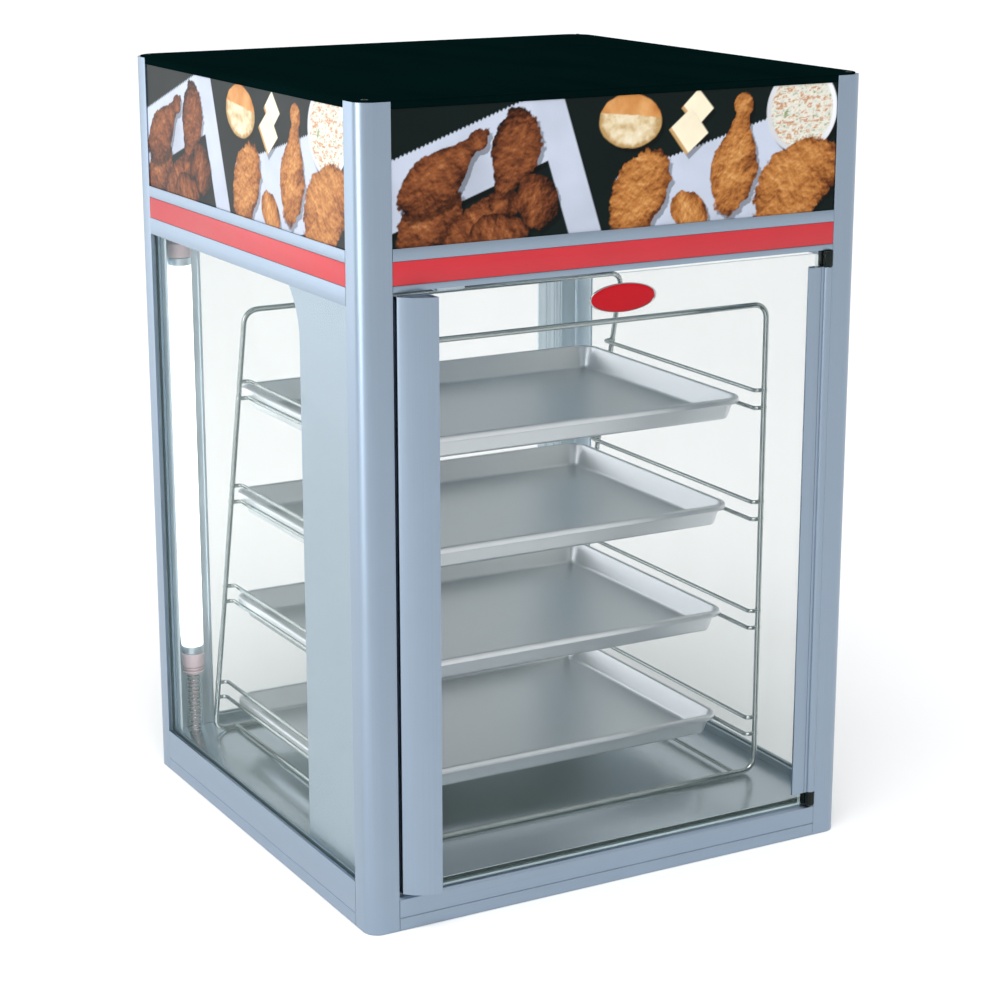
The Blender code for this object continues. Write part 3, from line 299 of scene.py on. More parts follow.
def turned(profile, centre, axis=Z, steps=40, ring=False, flutes=0, depth=0.0):
    """A turned piece: radius * (cos a, sin a) about a centre, at each height of its profile.

    With flutes, the radius shrinks by depth * (1 - |cos(flutes * a / 2)|).
    """
    profile = np.asarray(profile, float)
    angle = np.linspace(0, 2 * np.pi, steps, endpoint=False)
    radius = profile[:, :1] * (1 - depth * (1 - np.abs(np.cos(flutes * angle / 2))))
    flat = np.stack([centre[0] + radius * np.cos(angle), centre[1] + radius * np.sin(angle)], -1)
    heights = np.broadcast_to(profile[:, 1:], flat.shape[:2])
    return lofted(np.insert(flat, axis, heights, axis=-1), closed=ring)


def wire(path, radius, normal, sides=14, closed=False):
    """A round wire along a flat path.

    Point (i, a) is path(i) + radius * (cos a * normal + sin a * (normal x tangent(i))).
    """
    path, normal = np.asarray(path, float), np.asarray(normal, float)
    steps = unit(np.diff(np.vstack([path, path[:1]]), axis=0))
    if not closed:
        steps[-1] = steps[-2]
    before = np.roll(steps, 1, 0)
    if not closed:
        before[0] = steps[0]
    side = np.cross(normal, unit(steps + before))
    angle = np.linspace(0, 2 * np.pi, sides, endpoint=False)[None, :, None]
    rings = path[:, None] + radius * (np.cos(angle) * normal + np.sin(angle) * side[:, None])
    return lofted(rings, closed)


def coil(centre, radius, wire_radius, low, high, turns, steps=26, sides=8):
    """A round spring: its wire's middle runs at radius * (cos a, sin a), rising evenly from low to high."""
    angle = np.linspace(0, 2 * np.pi * turns, steps * turns)
    height = np.linspace(low, high, len(angle))
    out = np.stack([np.cos(angle), np.sin(angle), np.zeros_like(angle)], 1)
    path = radius * out + np.stack([angle * 0 + centre[0], angle * 0 + centre[1], height], 1)
    round_wire = np.linspace(0, 2 * np.pi, sides, endpoint=False)[None, :, None]
    rings = path[:, None] + wire_radius * (
        np.cos(round_wire) * out[:, None] + np.sin(round_wire) * np.array([0, 0, 1])
    )
    return lofted(rings)


def piece(name, parts, material, body, stands_for=(), sharp=35, merge=True):
    """Joins parts into one object in place, which rides on a body and may stand for CAD nodes."""
    points, faces, start = np.concatenate([part[0] for part in parts]), [], 0
    for part_points, part_faces in parts:
        faces += [face for block in part_faces for face in (block + start).tolist()]
        start += len(part_points)
    mesh = bpy.data.meshes.new(name)
    mesh.from_pydata(points, [], faces)
    if merge:
        bm = bmesh.new()
        bm.from_mesh(mesh)
        bmesh.ops.remove_doubles(bm, verts=bm.verts, dist=0.001 * MM)
        bm.to_mesh(mesh)
        bm.free()
    mesh.shade_smooth()
    mesh.set_sharp_from_angle(angle=radians(sharp))
    mesh.materials.append(material)
    obj = bpy.data.objects.new(name, mesh)
    bpy.context.scene.collection.objects.link(obj)
    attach(obj, body)
    if stands_for:
        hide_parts(*stands_for)
    return obj


# Materials


class Value:
    """A shader socket. Python's operators on it add Math nodes."""

    def __init__(self, shader, socket):
        self.shader, self.socket = shader, socket

    def math(self, operation, *others):
        """A Math node over its inputs in order."""
        return self.shader.node("ShaderNodeMath", {"operation": operation}, *others)

    def __add__(self, other):
        return self.math("ADD", self, other)

    def __sub__(self, other):
        return self.math("SUBTRACT", self, other)

    def __rsub__(self, other):
        return self.math("SUBTRACT", other, self)

    def __mul__(self, other):
        return self.math("MULTIPLY", self, other)

    __radd__, __rmul__ = __add__, __mul__


class Shader:
    """A material's node tree. Its constants go straight onto the Principled BSDF's own sockets."""

    def __init__(self, name, **constants):
        self.material = bpy.data.materials.new(name)
        self.material.use_nodes = True
        self.tree = self.material.node_tree
        self.principled = self.tree.nodes["Principled BSDF"]
        for key, value in constants.items():
            self.principled.inputs[key.replace("_", " ")].default_value = value

    def node(self, kind, settings, *inputs, output=0, **named):
        """Adds a node: its settings first, then the values or links of its inputs, in order or by name."""
        made = self.tree.nodes.new(kind)
        for key, value in settings.items():
            setattr(made, key, value)
        for key, value in [*enumerate(inputs), *named.items()]:
            socket = made.inputs[key.replace("_", " ") if isinstance(key, str) else key]
            if isinstance(value, Value):
                self.tree.links.new(value.socket, socket)
            elif value is not None:
                socket.default_value = value
        return Value(self, made.outputs[output])

    def place(self, stretch=(1, 1, 1)):
        """Object coordinates in metres, stretched along each axis."""
        at = self.node("ShaderNodeTexCoord", {}, output="Object")
        return self.node("ShaderNodeVectorMath", {"operation": "MULTIPLY"}, at, stretch)

    def noise(self, at, scale, detail=2.0, roughness=0.5):
        """Noise from 0 to 1 at a place."""
        return self.node("ShaderNodeTexNoise", {}, Vector=at, Scale=scale, Detail=detail, Roughness=roughness)

    def range(self, value, low, high, start=0.0, end=1.0):
        """Maps low..high to start..end and holds it there."""
        return self.node("ShaderNodeMapRange", {"clamp": True}, value, low, high, start, end)

    def mix(self, factor, first, second, blend="MIX"):
        """A colour between two colours, or the first blended with the second."""
        made = self.tree.nodes.new("ShaderNodeMix")
        made.data_type, made.blend_type = "RGBA", blend
        names = {"Factor_Float": factor, "A_Color": first, "B_Color": second}
        for socket in made.inputs:
            value = names.get(socket.identifier)
            if isinstance(value, Value):
                self.tree.links.new(value.socket, socket)
            elif value is not None:
                socket.default_value = (*value, 1.0) if socket.identifier != "Factor_Float" else value
        return Value(self, next(s for s in made.outputs if s.identifier == "Result_Color"))

    def bump(self, height, strength, distance):
        """A normal that follows the slope of a height."""
        return self.node("ShaderNodeBump", {}, Strength=strength, Distance=distance, Height=height)

    def finish(self, **links):
        """Links what varies over the surface to the BSDF's sockets, and gives the material."""
        for key, value in links.items():
            self.tree.links.new(value.socket, self.principled.inputs[key.replace("_", " ")])
        return self.material


def shaded(tone, by):
    """A colour made lighter or darker by one factor."""
    return tuple(min(1.0, part * by) for part in tone)


def drawn_metal(name, tone, axis, rough, fine=2600.0, coarse=9.0):
    """Metal with fine lines along one axis, slow clouds in its shine, and a faint relief."""
    shader = Shader(name, Metallic=1.0)
    stretch = [fine] * 3
    stretch[axis] = coarse
    lines = shader.noise(shader.place(tuple(stretch)), 1.0, 3.0)
    clouds = shader.noise(shader.place(), 14.0, 3.0)
    blend = lines * 0.6 + clouds * 0.4
    return shader.finish(
        Base_Color=shader.mix(blend, shaded(tone, 0.90), shaded(tone, 1.10)),
        Roughness=rough + (lines - 0.5) * 0.16 + (clouds - 0.5) * 0.08,
        Normal=shader.bump(lines, 0.10, 0.02 * MM),
    )


def make_anodised(colours, axis):
    """Satin anodised aluminium, drawn along an axis."""
    return drawn_metal(f"anodised_{'xyz'[axis]}", colours.anodised, axis, 0.36, 900.0, 4.0)


def make_sheet(colours):
    """Pale anodised sheet, rolled upwards."""
    return drawn_metal("pale_sheet", colours.sheet, Z, 0.40, 900.0, 4.0)


def make_duct_sheet(colours):
    """Anodised sheet in the duct's darker tone."""
    return drawn_metal("duct_sheet", colours.duct, Z, 0.40, 900.0, 4.0)


def make_stainless(colours, axis):
    """Stainless sheet, brushed along an axis."""
    return drawn_metal(f"stainless_{'xyz'[axis]}", colours.stainless, axis, 0.23, 2200.0, 14.0)


def make_chrome(colours):
    """Bright plate: nearly a mirror, a little clouded, with a slight ripple from the wire below."""
    shader = Shader("chrome_plate", Metallic=1.0)
    clouds = shader.noise(shader.place(), 60.0, 3.0)
    ripple = shader.noise(shader.place(), 420.0, 2.0)
    return shader.finish(
        Base_Color=shader.mix(clouds, shaded(colours.chrome, 0.86), shaded(colours.chrome, 1.12)),
        Roughness=0.10 + clouds * 0.12,
        Normal=shader.bump(ripple, 0.12, 0.05 * MM),
    )


def make_pan_metal(colours):
    """Plain aluminium sheet, satin, with crossing scuffs from use and darker handling marks."""
    shader = Shader("pan_aluminium", Metallic=1.0)
    across = shader.noise(shader.place((30.0, 900.0, 30.0)), 1.0, 3.0)
    along = shader.noise(shader.place((900.0, 24.0, 30.0)), 1.0, 3.0)
    clouds = shader.noise(shader.place(), 18.0, 4.0)
    scuffs = shader.range(across * along, 0.28, 0.42)
    marks = clouds * 0.7 + scuffs * 0.3
    return shader.finish(
        Base_Color=shader.mix(marks, shaded(colours.pan, 0.84), shaded(colours.pan, 1.10)),
        Roughness=0.24 + clouds * 0.14 + scuffs * 0.10,
        Normal=shader.bump(across * 0.5 + along * 0.5, 0.10, 0.03 * MM),
    )


def make_enamel(colours):
    """Gloss black enamel with a trace of orange peel and faint wiping marks."""
    shader = Shader("black_enamel", Specular_IOR_Level=0.0)
    peel = shader.noise(shader.place(), 330.0, 2.0)
    wiped = shader.noise(shader.place((9.0, 2.5, 9.0)), 2.0, 4.0)
    return shader.finish(
        Base_Color=shader.mix(wiped, colours.cover, shaded(colours.cover, 1.9)),
        Roughness=0.16 + wiped * 0.14,
        Normal=shader.bump(peel, 0.05, 0.03 * MM),
    )


def make_glass(colours):
    """Clear pane: nearly nothing to see straight on, more at a slant, with faint smears."""
    shader = Shader("clear_glass", Roughness=0.03, Specular_IOR_Level=0.6)
    slant = shader.node("ShaderNodeLayerWeight", {}, 0.35, output="Fresnel")
    smears = shader.noise(shader.place((6.0, 6.0, 2.0)), 3.0, 4.0)
    return shader.finish(
        Base_Color=shader.mix(smears, shaded(colours.glass, 0.96), colours.glass),
        Alpha=0.05 + slant * 0.06 + smears * 0.02,
    )


def make_glass_edge(colours):
    """Ground edge of a pane: pale green, with the fine chatter of the grinding wheel."""
    shader = Shader("glass_edge", Specular_IOR_Level=0.6, Alpha=0.6)
    chatter = shader.noise(shader.place(), 700.0, 2.0)
    slow = shader.noise(shader.place(), 12.0, 2.0)
    return shader.finish(
        Base_Color=shader.mix(slow, colours.glass_edge, shaded(colours.glass_edge, 1.9)),
        Roughness=0.18 + chatter * 0.2,
        Normal=shader.bump(chatter, 0.2, 0.03 * MM),
    )


def moulded(name, tone, rough, grain_scale=900.0, lift=1.5, **constants):
    """Moulded or rolled plastic: a fine grain, and slow changes of shine and tone."""
    shader = Shader(name, **constants)
    grain_height = shader.noise(shader.place(), grain_scale, 3.0)
    slow = shader.noise(shader.place(), 22.0, 3.0)
    return shader.finish(
        Base_Color=shader.mix(slow, shaded(tone, 0.92), shaded(tone, lift)),
        Roughness=rough + (slow - 0.5) * 0.14 + (grain_height - 0.5) * 0.06,
        Normal=shader.bump(grain_height, 0.12, 0.04 * MM),
    )


def make_stripe(colours):
    """Satin red plastic strip."""
    return moulded("red_inlay", colours.stripe, 0.38, 700.0, 1.06)


def make_emblem(colours):
    """Glossy red enamel."""
    return moulded("red_enamel", colours.emblem, 0.22, 420.0, 1.08, Specular_IOR_Level=0.2)


def make_nylon(colours):
    """Black nylon with a fine grain."""
    return moulded("black_nylon", colours.plastic, 0.26, 800.0, 1.7, Specular_IOR_Level=0.2)


def make_holder(colours):
    """Pale moulded plastic that lets a little light in."""
    return moulded(
        "lamp_holder_plastic", colours.holder, 0.30, 500.0, 1.12, Subsurface_Weight=0.25,
        Subsurface_Radius=(0.004, 0.003, 0.003),
    )


def make_zinc(colours):
    """Zinc plate: small crystal patches that differ in tone and shine."""
    shader = Shader("zinc_plate", Metallic=1.0)
    at = shader.place()
    patches = shader.node("ShaderNodeTexVoronoi", {}, Vector=at, Scale=170.0, output="Distance")
    clouds = shader.noise(shader.place(), 40.0, 4.0)
    blend = patches * 0.6 + clouds * 0.4
    return shader.finish(
        Base_Color=shader.mix(blend, shaded(colours.steel, 0.8), shaded(colours.steel, 1.15)),
        Roughness=0.30 + patches * 0.15 + clouds * 0.08,
        Normal=shader.bump(clouds, 0.08, 0.05 * MM),
    )


def make_lamp_light(colours, strength):
    """The lit tube: white coating, a little dimmer towards its ends."""
    low, high = corners("lamp_tube")
    middle, half = (low + high)[Z] / 2, (high - low)[Z] / 2
    shader = Shader("lit_tube", Roughness=0.25, Emission_Strength=strength)
    height = shader.node("ShaderNodeSeparateXYZ", {}, shader.place(), output=Z)
    from_middle = (height - middle).math("ABSOLUTE", height - middle) * (1 / half)
    ends = shader.range(from_middle, 0.86, 1.0)
    mottle = shader.noise(shader.place(), 160.0, 2.0)
    return shader.finish(
        Base_Color=shader.mix(mottle, (0.88, 0.88, 0.86), (0.95, 0.95, 0.93)),
        Emission_Color=shader.mix(ends, colours.lamp, shaded(colours.lamp, 0.45)),
    )


def make_print_film(_colours):
    """Printed film: the panel's own painted colours under a satin skin with a fine grain."""
    shader = Shader("printed_film", Specular_IOR_Level=0.10)
    paint = shader.node("ShaderNodeVertexColor", {"layer_name": "print"})
    grain_height = shader.noise(shader.place(), 1400.0, 2.0)
    slow = shader.noise(shader.place(), 9.0, 2.0)
    grey = shader.node("ShaderNodeCombineColor", {}, grain_height, grain_height, grain_height)
    return shader.finish(
        Base_Color=shader.mix(0.25, paint, grey, "SOFT_LIGHT"),
        Roughness=0.26 + slow * 0.14,
        Normal=shader.bump(grain_height, 0.04, 0.02 * MM),
    )


def make_floor_paint(tone):
    """Pale studio floor, matt, with the slightest change of tone."""
    shader = Shader("studio_floor", Specular_IOR_Level=0.2)
    slow = shader.noise(shader.place(), 1.3, 2.0)
    return shader.finish(
        Base_Color=shader.mix(slow, shaded(tone, 0.985), tone),
        Roughness=0.75 + slow * 0.1,
    )


FINISHES = {
    "anodised_x": lambda colours: make_anodised(colours, X),
    "anodised_y": lambda colours: make_anodised(colours, Y),
    "anodised_z": lambda colours: make_anodised(colours, Z),
    "pale_sheet": make_sheet,
    "duct_sheet": make_duct_sheet,
    "stainless_x": lambda colours: make_stainless(colours, X),
    "chrome_plate": make_chrome,
    "pan_aluminium": make_pan_metal,
    "black_enamel": make_enamel,
    "clear_glass": make_glass,
    "glass_edge": make_glass_edge,
    "red_inlay": make_stripe,
    "red_enamel": make_emblem,
    "black_nylon": make_nylon,
    "lamp_holder_plastic": make_holder,
    "zinc_plate": make_zinc,
    "printed_film": make_print_film,
}


def finish(name):
    """A finish by its name, made once."""
    return bpy.data.materials.get(name) or FINISHES[name](bpy.context.scene.cabinet_colours)


def repaint(node, name):
    """Gives a CAD node that is shown as it is a finish."""
    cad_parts[node].data.materials.clear()
    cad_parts[node].data.materials.append(finish(name))


# The printed pattern


def lattice(u, v, size, seed):
    """Smooth noise from 0 to 1: random numbers on a square lattice, eased by t * t * (3 - 2 * t)."""
    count = 97
    table = np.random.default_rng(seed).random((count, count))
    i, j = np.floor(u / size).astype(int), np.floor(v / size).astype(int)
    s, t = u / size - i, v / size - j
    s, t = s * s * (3 - 2 * s), t * t * (3 - 2 * t)
    i, j, k, m = i % count, j % count, (i + 1) % count, (j + 1) % count
    lower = table[i, j] * (1 - s) + table[k, j] * s
    upper = table[i, m] * (1 - s) + table[k, m] * s
    return lower * (1 - t) + upper * t


def grain(u, v, size, seed):
    """Four layers of smooth noise, each half as large and half as strong as the one before."""
    layers = [lattice(u, v, size / 2**k, seed + k) / 2 ** (k + 1) for k in range(4)]
    whole = 1 / 2 + 1 / 4 + 1 / 8 + 1 / 16
    return sum(layers) / whole


def eased(value, low, high):
    """0 below low, 1 above high, and t * t * (3 - 2 * t) between."""
    t = np.clip((value - low) / (high - low), 0, 1)
    return t * t * (3 - 2 * t)


def toned(tone, stops):
    """Colours along evenly spaced stops."""
    at = np.linspace(0, 1, len(stops))
    return np.stack([np.interp(tone, at, channel) for channel in zip(*stops)], -1)


# Colour stops of the print, from the darkest part to the lightest.
CRUST = (
    (0.085, 0.022, 0.006), (0.24, 0.078, 0.017), (0.42, 0.165, 0.042), (0.56, 0.27, 0.085),
    (0.74, 0.47, 0.22),
)
GLAZED = (
    (0.010, 0.003, 0.002), (0.070, 0.019, 0.007), (0.165, 0.048, 0.016), (0.28, 0.092, 0.030),
    (0.46, 0.21, 0.09),
)
CRUMB = ((0.42, 0.26, 0.10), (0.68, 0.56, 0.36), (0.80, 0.74, 0.60))
GOLD_TOP = ((0.26, 0.08, 0.02), (0.50, 0.20, 0.05), (0.70, 0.38, 0.15))
SLAW = (
    (0.20, 0.25, 0.08), (0.60, 0.61, 0.54), (0.72, 0.70, 0.62), (0.45, 0.20, 0.08), (0.76, 0.74, 0.66),
)


def fried(p, q, long, wide, narrow, stops, seed):
    """A fried piece: an oval that narrows towards one end, with a ragged rim and a crumbed, lit crust.

    Its rim is where (p / width)^2 + (q / length)^2 = 1, moved by noise. Its tone is the dome's height
    plus the crust's slope towards the light, at two sizes of crumb.
    """
    bent = p + 0.16 * wide * (grain(p, q, 60, seed + 21) - 0.5)
    along = q / (long / 2)
    width = wide / 2 * (1 - narrow * eased(along, -0.30, 0.70))
    knuckle = np.hypot(bent, q - long * 0.40) / (wide * 0.20) if narrow else 9.0
    ragged = 0.24 * (grain(p, q, 15, seed) - 0.5) + 0.16 * (grain(p, q, 4, seed + 5) - 0.5)
    rim = np.minimum(np.hypot(bent / width, along), knuckle) + ragged
    dome = np.sqrt(np.clip(1 - rim**2, 0, 1))
    crumbs, lumps = grain(p, q, 4.2, seed + 9), grain(p, q, 19, seed + 13)
    slope = crumbs - grain(p + 1.0, q - 1.4, 4.2, seed + 9)
    swell = lumps - grain(p + 4, q - 5, 19, seed + 13)
    tone = 0.06 + 0.50 * dome + 0.62 * slope + 0.85 * swell + 0.20 * (crumbs - 0.5) - 0.20 * bent / wide
    return eased(1 - rim, 0, 0.05), toned(tone, stops)


def drumstick(p, q, long, wide, seed):
    """A crumbed leg."""
    return fried(p, q, long, wide, 0.62, CRUST, seed)


def nugget(p, q, long, wide, seed):
    """A crumbed piece."""
    return fried(p, q, long, wide, 0.0, CRUST, seed)


def glazed_leg(p, q, long, wide, seed):
    """A leg under a dark glaze."""
    return fried(p, q, long, wide, 0.58, GLAZED, seed)


def glazed_piece(p, q, long, wide, seed):
    """A piece under a dark glaze."""
    return fried(p, q, long, wide, 0.0, GLAZED, seed)


def paper(p, q, long, wide, seed):
    """A sheet of paper: a rectangle with one pinked edge, and folds that shade it softly."""
    teeth = 2.2 * np.abs((p / 4.6) % 1 - 0.5) * 2
    mask = eased(long / 2 - np.abs(p), 0, 1.4) * eased(wide / 2 - np.abs(q) - teeth * (q > 0), 0, 1.0)
    fold = 0.55 + 0.55 * grain(p, q, 75, seed) + 0.16 * eased(q, -wide / 2, wide / 2)
    return mask, np.clip(fold, 0, 1)[..., None] * np.array(bpy.context.scene.cabinet_print.paper)


def roll(p, q, long, wide, seed):
    """A split bread roll: a browned top over a pale, holed crumb."""
    rim = np.hypot(p / (long / 2), q / (wide / 2)) + 0.16 * (grain(p, q, 22, seed) - 0.5)
    crumb = toned(grain(p, q, 6, seed + 3) * 1.1 - 0.05 - eased(rim, 0.75, 1) * 0.7, CRUMB)
    top = toned(0.2 + 0.75 * grain(p, q, 14, seed + 7) + 0.2 * (1 - rim), GOLD_TOP)
    split = eased(q - 0.10 * wide + 5 * (grain(p, q, 18, seed + 11) - 0.5), -0.6, 0.6)[..., None]
    return eased(1 - rim, 0, 0.05), crumb * (1 - split) + top * split


def cheese(p, q, long, wide, seed):
    """A square slice seen from above, with its browned cut side showing along one edge."""
    mask = eased(long / 2 - np.abs(p), 0, 1.2) * eased(wide / 2 - np.abs(q), 0, 1.2)
    side = eased(-p, long / 2 - 4.5, long / 2 - 3.5)[..., None]
    face = np.array([0.86, 0.77, 0.58]) * (0.86 + 0.2 * grain(p, q, 20, seed))[..., None]
    return mask, face * (1 - side) + np.array([0.50, 0.30, 0.12]) * side


def bowl(p, q, long, _wide, seed):
    """A white bowl of shredded salad: a pale rim round short streaks in mixed colours."""
    far = np.hypot(p, q) / (long / 2)
    streaks = grain(p + 2.2 * grain(p, q, 6, seed), q * 2.1, 5, seed + 2) * 1.5 - 0.25
    rim = eased(far, 0.84, 0.88)[..., None]
    lit = 0.72 + 0.28 * eased(p + q, -long / 2, long / 2)
    white = np.array([0.78, 0.80, 0.84]) * lit[..., None]
    return eased(1 - far, 0, 0.03), toned(streaks, SLAW) * (1 - rim) + white * rim


# From the back forwards: a shape, its middle across and up from the panel's middle, its length and
# width, all in mm, and its turn in degrees.
PRINT_ITEMS = (
    (paper, -178, 12, 206, 66, 19),
    (paper, -66, 6, 36, 172, 18),
    (paper, 96, -30, 196, 92, 15),
    (glazed_piece, -214, -40, 84, 52, -50),
    (glazed_leg, -200, 6, 118, 54, -52),
    (glazed_piece, -158, -44, 92, 42, -62),
    (glazed_leg, -126, 12, 104, 58, 160),
    (glazed_piece, -96, -28, 54, 46, 10),
    (glazed_piece, -140, -54, 66, 34, 84),
    (roll, 6, 42, 74, 54, -6),
    (cheese, 84, 50, 28, 28, 42),
    (cheese, 74, 28, 34, 34, 38),
    (nugget, 18, -28, 94, 64, -30),
    (nugget, 77, -50, 50, 36, 50),
    (drumstick, 130, 2, 124, 60, -10),
    (bowl, 210, 42, 88, 88, 0),
    (nugget, 204, -34, 122, 80, -52),
)


def painted(u, v, backdrop, seed):
    """The print's colours at points (u, v) in mm from its middle, painted from the back forwards."""
    tint = (0.75 + 0.6 * grain(u, v, 90, seed))[..., None]
    picture = np.array(backdrop) * tint
    shadow_right, shadow_down, shadow_depth = 3.5, 4.5, 0.55
    for number, (shape, across, up, long, wide, turn) in enumerate(PRINT_ITEMS):
        c, s = np.cos(radians(turn)), np.sin(radians(turn))
        item_seed = seed + 31 * number

        def drawn(right, high):
            """The item's mask and colours at points right of and above its middle."""
            return shape(c * right + s * high, c * high - s * right, long, wide, item_seed)

        shadow = drawn(u - across - shadow_right, v - up + shadow_down)[0]
        picture = picture * (1 - shadow_depth * shadow[..., None])
        mask, tones = drawn(u - across, v - up)
        picture = picture * (1 - mask[..., None]) + tones * mask[..., None]
    return np.clip(picture, 0, 1)


def printed_panel(node, axis, outward, settings):
    """A sign panel: its outer face is a fine grid that carries the print, and its rim and back are plain.

    Grid point (i, j) is the outer corner plus j steps to the viewer's right and i steps up.
    """
    low, high = corners(node)
    across = Y if axis == X else X
    width, tall = high[across] - low[across], high[Z] - low[Z]
    columns, rows = int(width / settings.pitch) + 1, int(tall / settings.pitch) + 1
    s, t = np.meshgrid(np.linspace(0, 1, columns), np.linspace(0, 1, rows))
    to_right = 1 if (axis == Y) == (outward < 0) else -1
    grid = np.empty((rows, columns, 3))
    grid[..., axis] = (high if outward > 0 else low)[axis]
    grid[..., across] = low[across] + width * (s if to_right > 0 else 1 - s)
    grid[..., Z] = low[Z] + tall * t
    here = np.arange(rows * columns).reshape(rows, columns)
    rim = np.concatenate([here[0, :-1], here[:-1, -1], here[-1, :0:-1], here[:0:-1, 0]])
    back = grid.reshape(-1, 3)[rim].copy()
    back[:, axis] = (low if outward > 0 else high)[axis]
    behind = here.size + np.arange(len(rim))
    faces = [
        np.stack([here[:-1, :-1], here[:-1, 1:], here[1:, 1:], here[1:, :-1]], -1).reshape(-1, 4),
        np.stack([np.roll(rim, -1), rim, behind, np.roll(behind, -1)], -1),
        behind[None, ::-1],
    ]
    points = np.vstack([grid.reshape(-1, 3), back])
    if volume(points, faces) < 0:
        faces = [block[:, ::-1] for block in faces]
    picture = painted((s - 0.5) * width / MM, (t - 0.5) * tall / MM, settings.backdrop, settings.seed)
    tones = np.vstack([picture.reshape(-1, 3), np.broadcast_to(settings.backdrop, (len(rim), 3))])
    obj = piece(
        f"{node}_panel", [(points, faces)], finish("printed_film"), "cabinet", [node],
        merge=False,
    )
    layer = obj.data.color_attributes.new("print", "FLOAT_COLOR", "POINT")
    layer.data.foreach_set("color", np.column_stack([tones, np.ones(len(tones))]).ravel())


# Frame and glazing


def pillar_section(node, sizes):
    """The plan of a pillar: two legs, each with a glazing slot in its end, and a large outer radius."""
    low, high = corners(node)
    pane_low, pane_high = corners("glass_left")
    sill_low, sill_high = corners("sill_left")
    leg, wall = high[X] - low[X], sill_high[X] - sill_low[X]
    near, far = pane_low[X] - sill_low[X] - GAP, pane_high[X] - sill_low[X] + GAP
    seat = leg - (corners("pillar_front_left")[1][Y] - pane_low[Y]) - GAP
    outline = np.array([
        (0, 0), (leg, 0), (leg, near), (seat, near), (seat, far), (leg, far), (leg, wall), (wall, wall),
        (wall, leg), (far, leg), (far, seat), (near, seat), (near, leg), (0, leg),
    ])
    radii = np.full(len(outline), sizes.edge)
    radii[0] = sizes.pillar_radius
    section = filleted(outline, radii, 10)
    in_front_or_left = (low + high)[:2] < 0
    turn = np.where(in_front_or_left, 1, -1)
    face = np.where(in_front_or_left, low[:2], high[:2])
    return face + section * turn


def low_of(node, axis):
    """Where a CAD node starts on an axis."""
    return corners(node)[0][axis]


def side_section(outline, radii, node, axis, turn):
    """Places a section that runs inwards from its outer face and up from the node's foot."""
    low, high = corners(node)
    across = Y if axis == X else X
    flat = filleted(outline, radii, 3)
    flat[:, 0] = (low[across] if turn > 0 else high[across]) + turn * flat[:, 0]
    flat[:, 1] += low[Z]
    return prism(flat, axis, low[axis], high[axis])


# For each side, the axis that its extrusions run along, and the sign of the way inwards.
SIDES = {"front": (X, 1), "rear": (X, -1), "left": (Y, 1), "right": (Y, -1)}


def sill_outline(side):
    """A sill's section: a shadow groove low on its face, and a glazing slot, or the door's ledge in front."""
    low, high = corners(f"sill_{side}")
    size = high - low
    deep, tall = size[Y if side in ("front", "rear") else X], size[Z]
    groove, groove_depth, groove_at = 0.45 * MM, 0.8 * MM, 13.5 * MM
    lines = [(groove_depth, groove_at + groove), (groove_depth, groove_at - groove), (0, groove_at - groove)]
    if side == "front":
        pane_low, pane_high = corners("door_glass")
        ledge, step, slope = pane_high[Y] + 2 * MM - low[Y], pane_low[Z] - 3 * MM, 2.2 * MM
        outline = [
            (0, 0), (deep, 0), (deep, tall), (ledge, tall), (ledge, step), (slope, step), (0, step - slope),
            (0, groove_at + groove),
        ]
        return outline + lines
    pane_low, pane_high = corners("glass_left")
    start = low_of("sill_left", X)
    near, far = pane_low[X] - start - GAP, pane_high[X] - start + GAP
    seat, lip = pane_low[Z] - GAP, 47.5 * MM
    outline = [(0, 0), (deep, 0), (deep, lip), (far, lip), (far, seat), (near, seat), (near, lip), (0, lip)]
    return outline + [(0, groove_at + groove)] + lines


def rail_outline(side):
    """A header rail's section: slots for pane and sign, and a recess for the strip on its face."""
    low, high = corners(f"header_rail_{side}")
    size = high - low
    deep, tall = size[Y if side in ("front", "rear") else X], size[Z]
    outline = [(0, 0)]
    if side != "front":
        pane_low, pane_high = corners("glass_left")
        start = low_of("header_rail_left", X)
        near, far = pane_low[X] - start - GAP, pane_high[X] - start + GAP
        seat = pane_high[Z] - low[Z] + GAP
        outline += [(near, 0), (near, seat), (far, seat), (far, 0)]
    front_low, front_high = corners("header_rail_front")
    sign_low, sign_high = corners("sign_front")
    near, far = sign_low[Y] - front_low[Y] - GAP, sign_high[Y] - front_low[Y] + GAP
    seat = tall - (front_high[Z] - sign_low[Z]) - GAP
    outline += [(deep, 0), (deep, tall), (far, tall), (far, seat), (near, seat), (near, tall), (0, tall)]
    if side != "rear":
        strip_low, strip_high = corners(f"strip_{side}")
        depth = min(strip_high[X] - strip_low[X], strip_high[Y] - strip_low[Y]) + GAP
        top, foot = strip_high[Z] - low[Z] + GAP, strip_low[Z] - low[Z] - GAP
        outline += [(0, top), (depth, top), (depth, foot), (0, foot)]
    return outline


def make_sides(title, outline_of, sizes):
    """The same kind of extrusion on all four sides, each from its own section."""
    for side, (axis, turn) in SIDES.items():
        node = f"{title}_{side}"
        part = side_section(outline_of(side), sizes.edge * 0.8, node, axis, turn)
        metal = finish(f"anodised_{'xyz'[axis]}")
        piece(f"{node}_extrusion", [part], metal, "cabinet", [node])


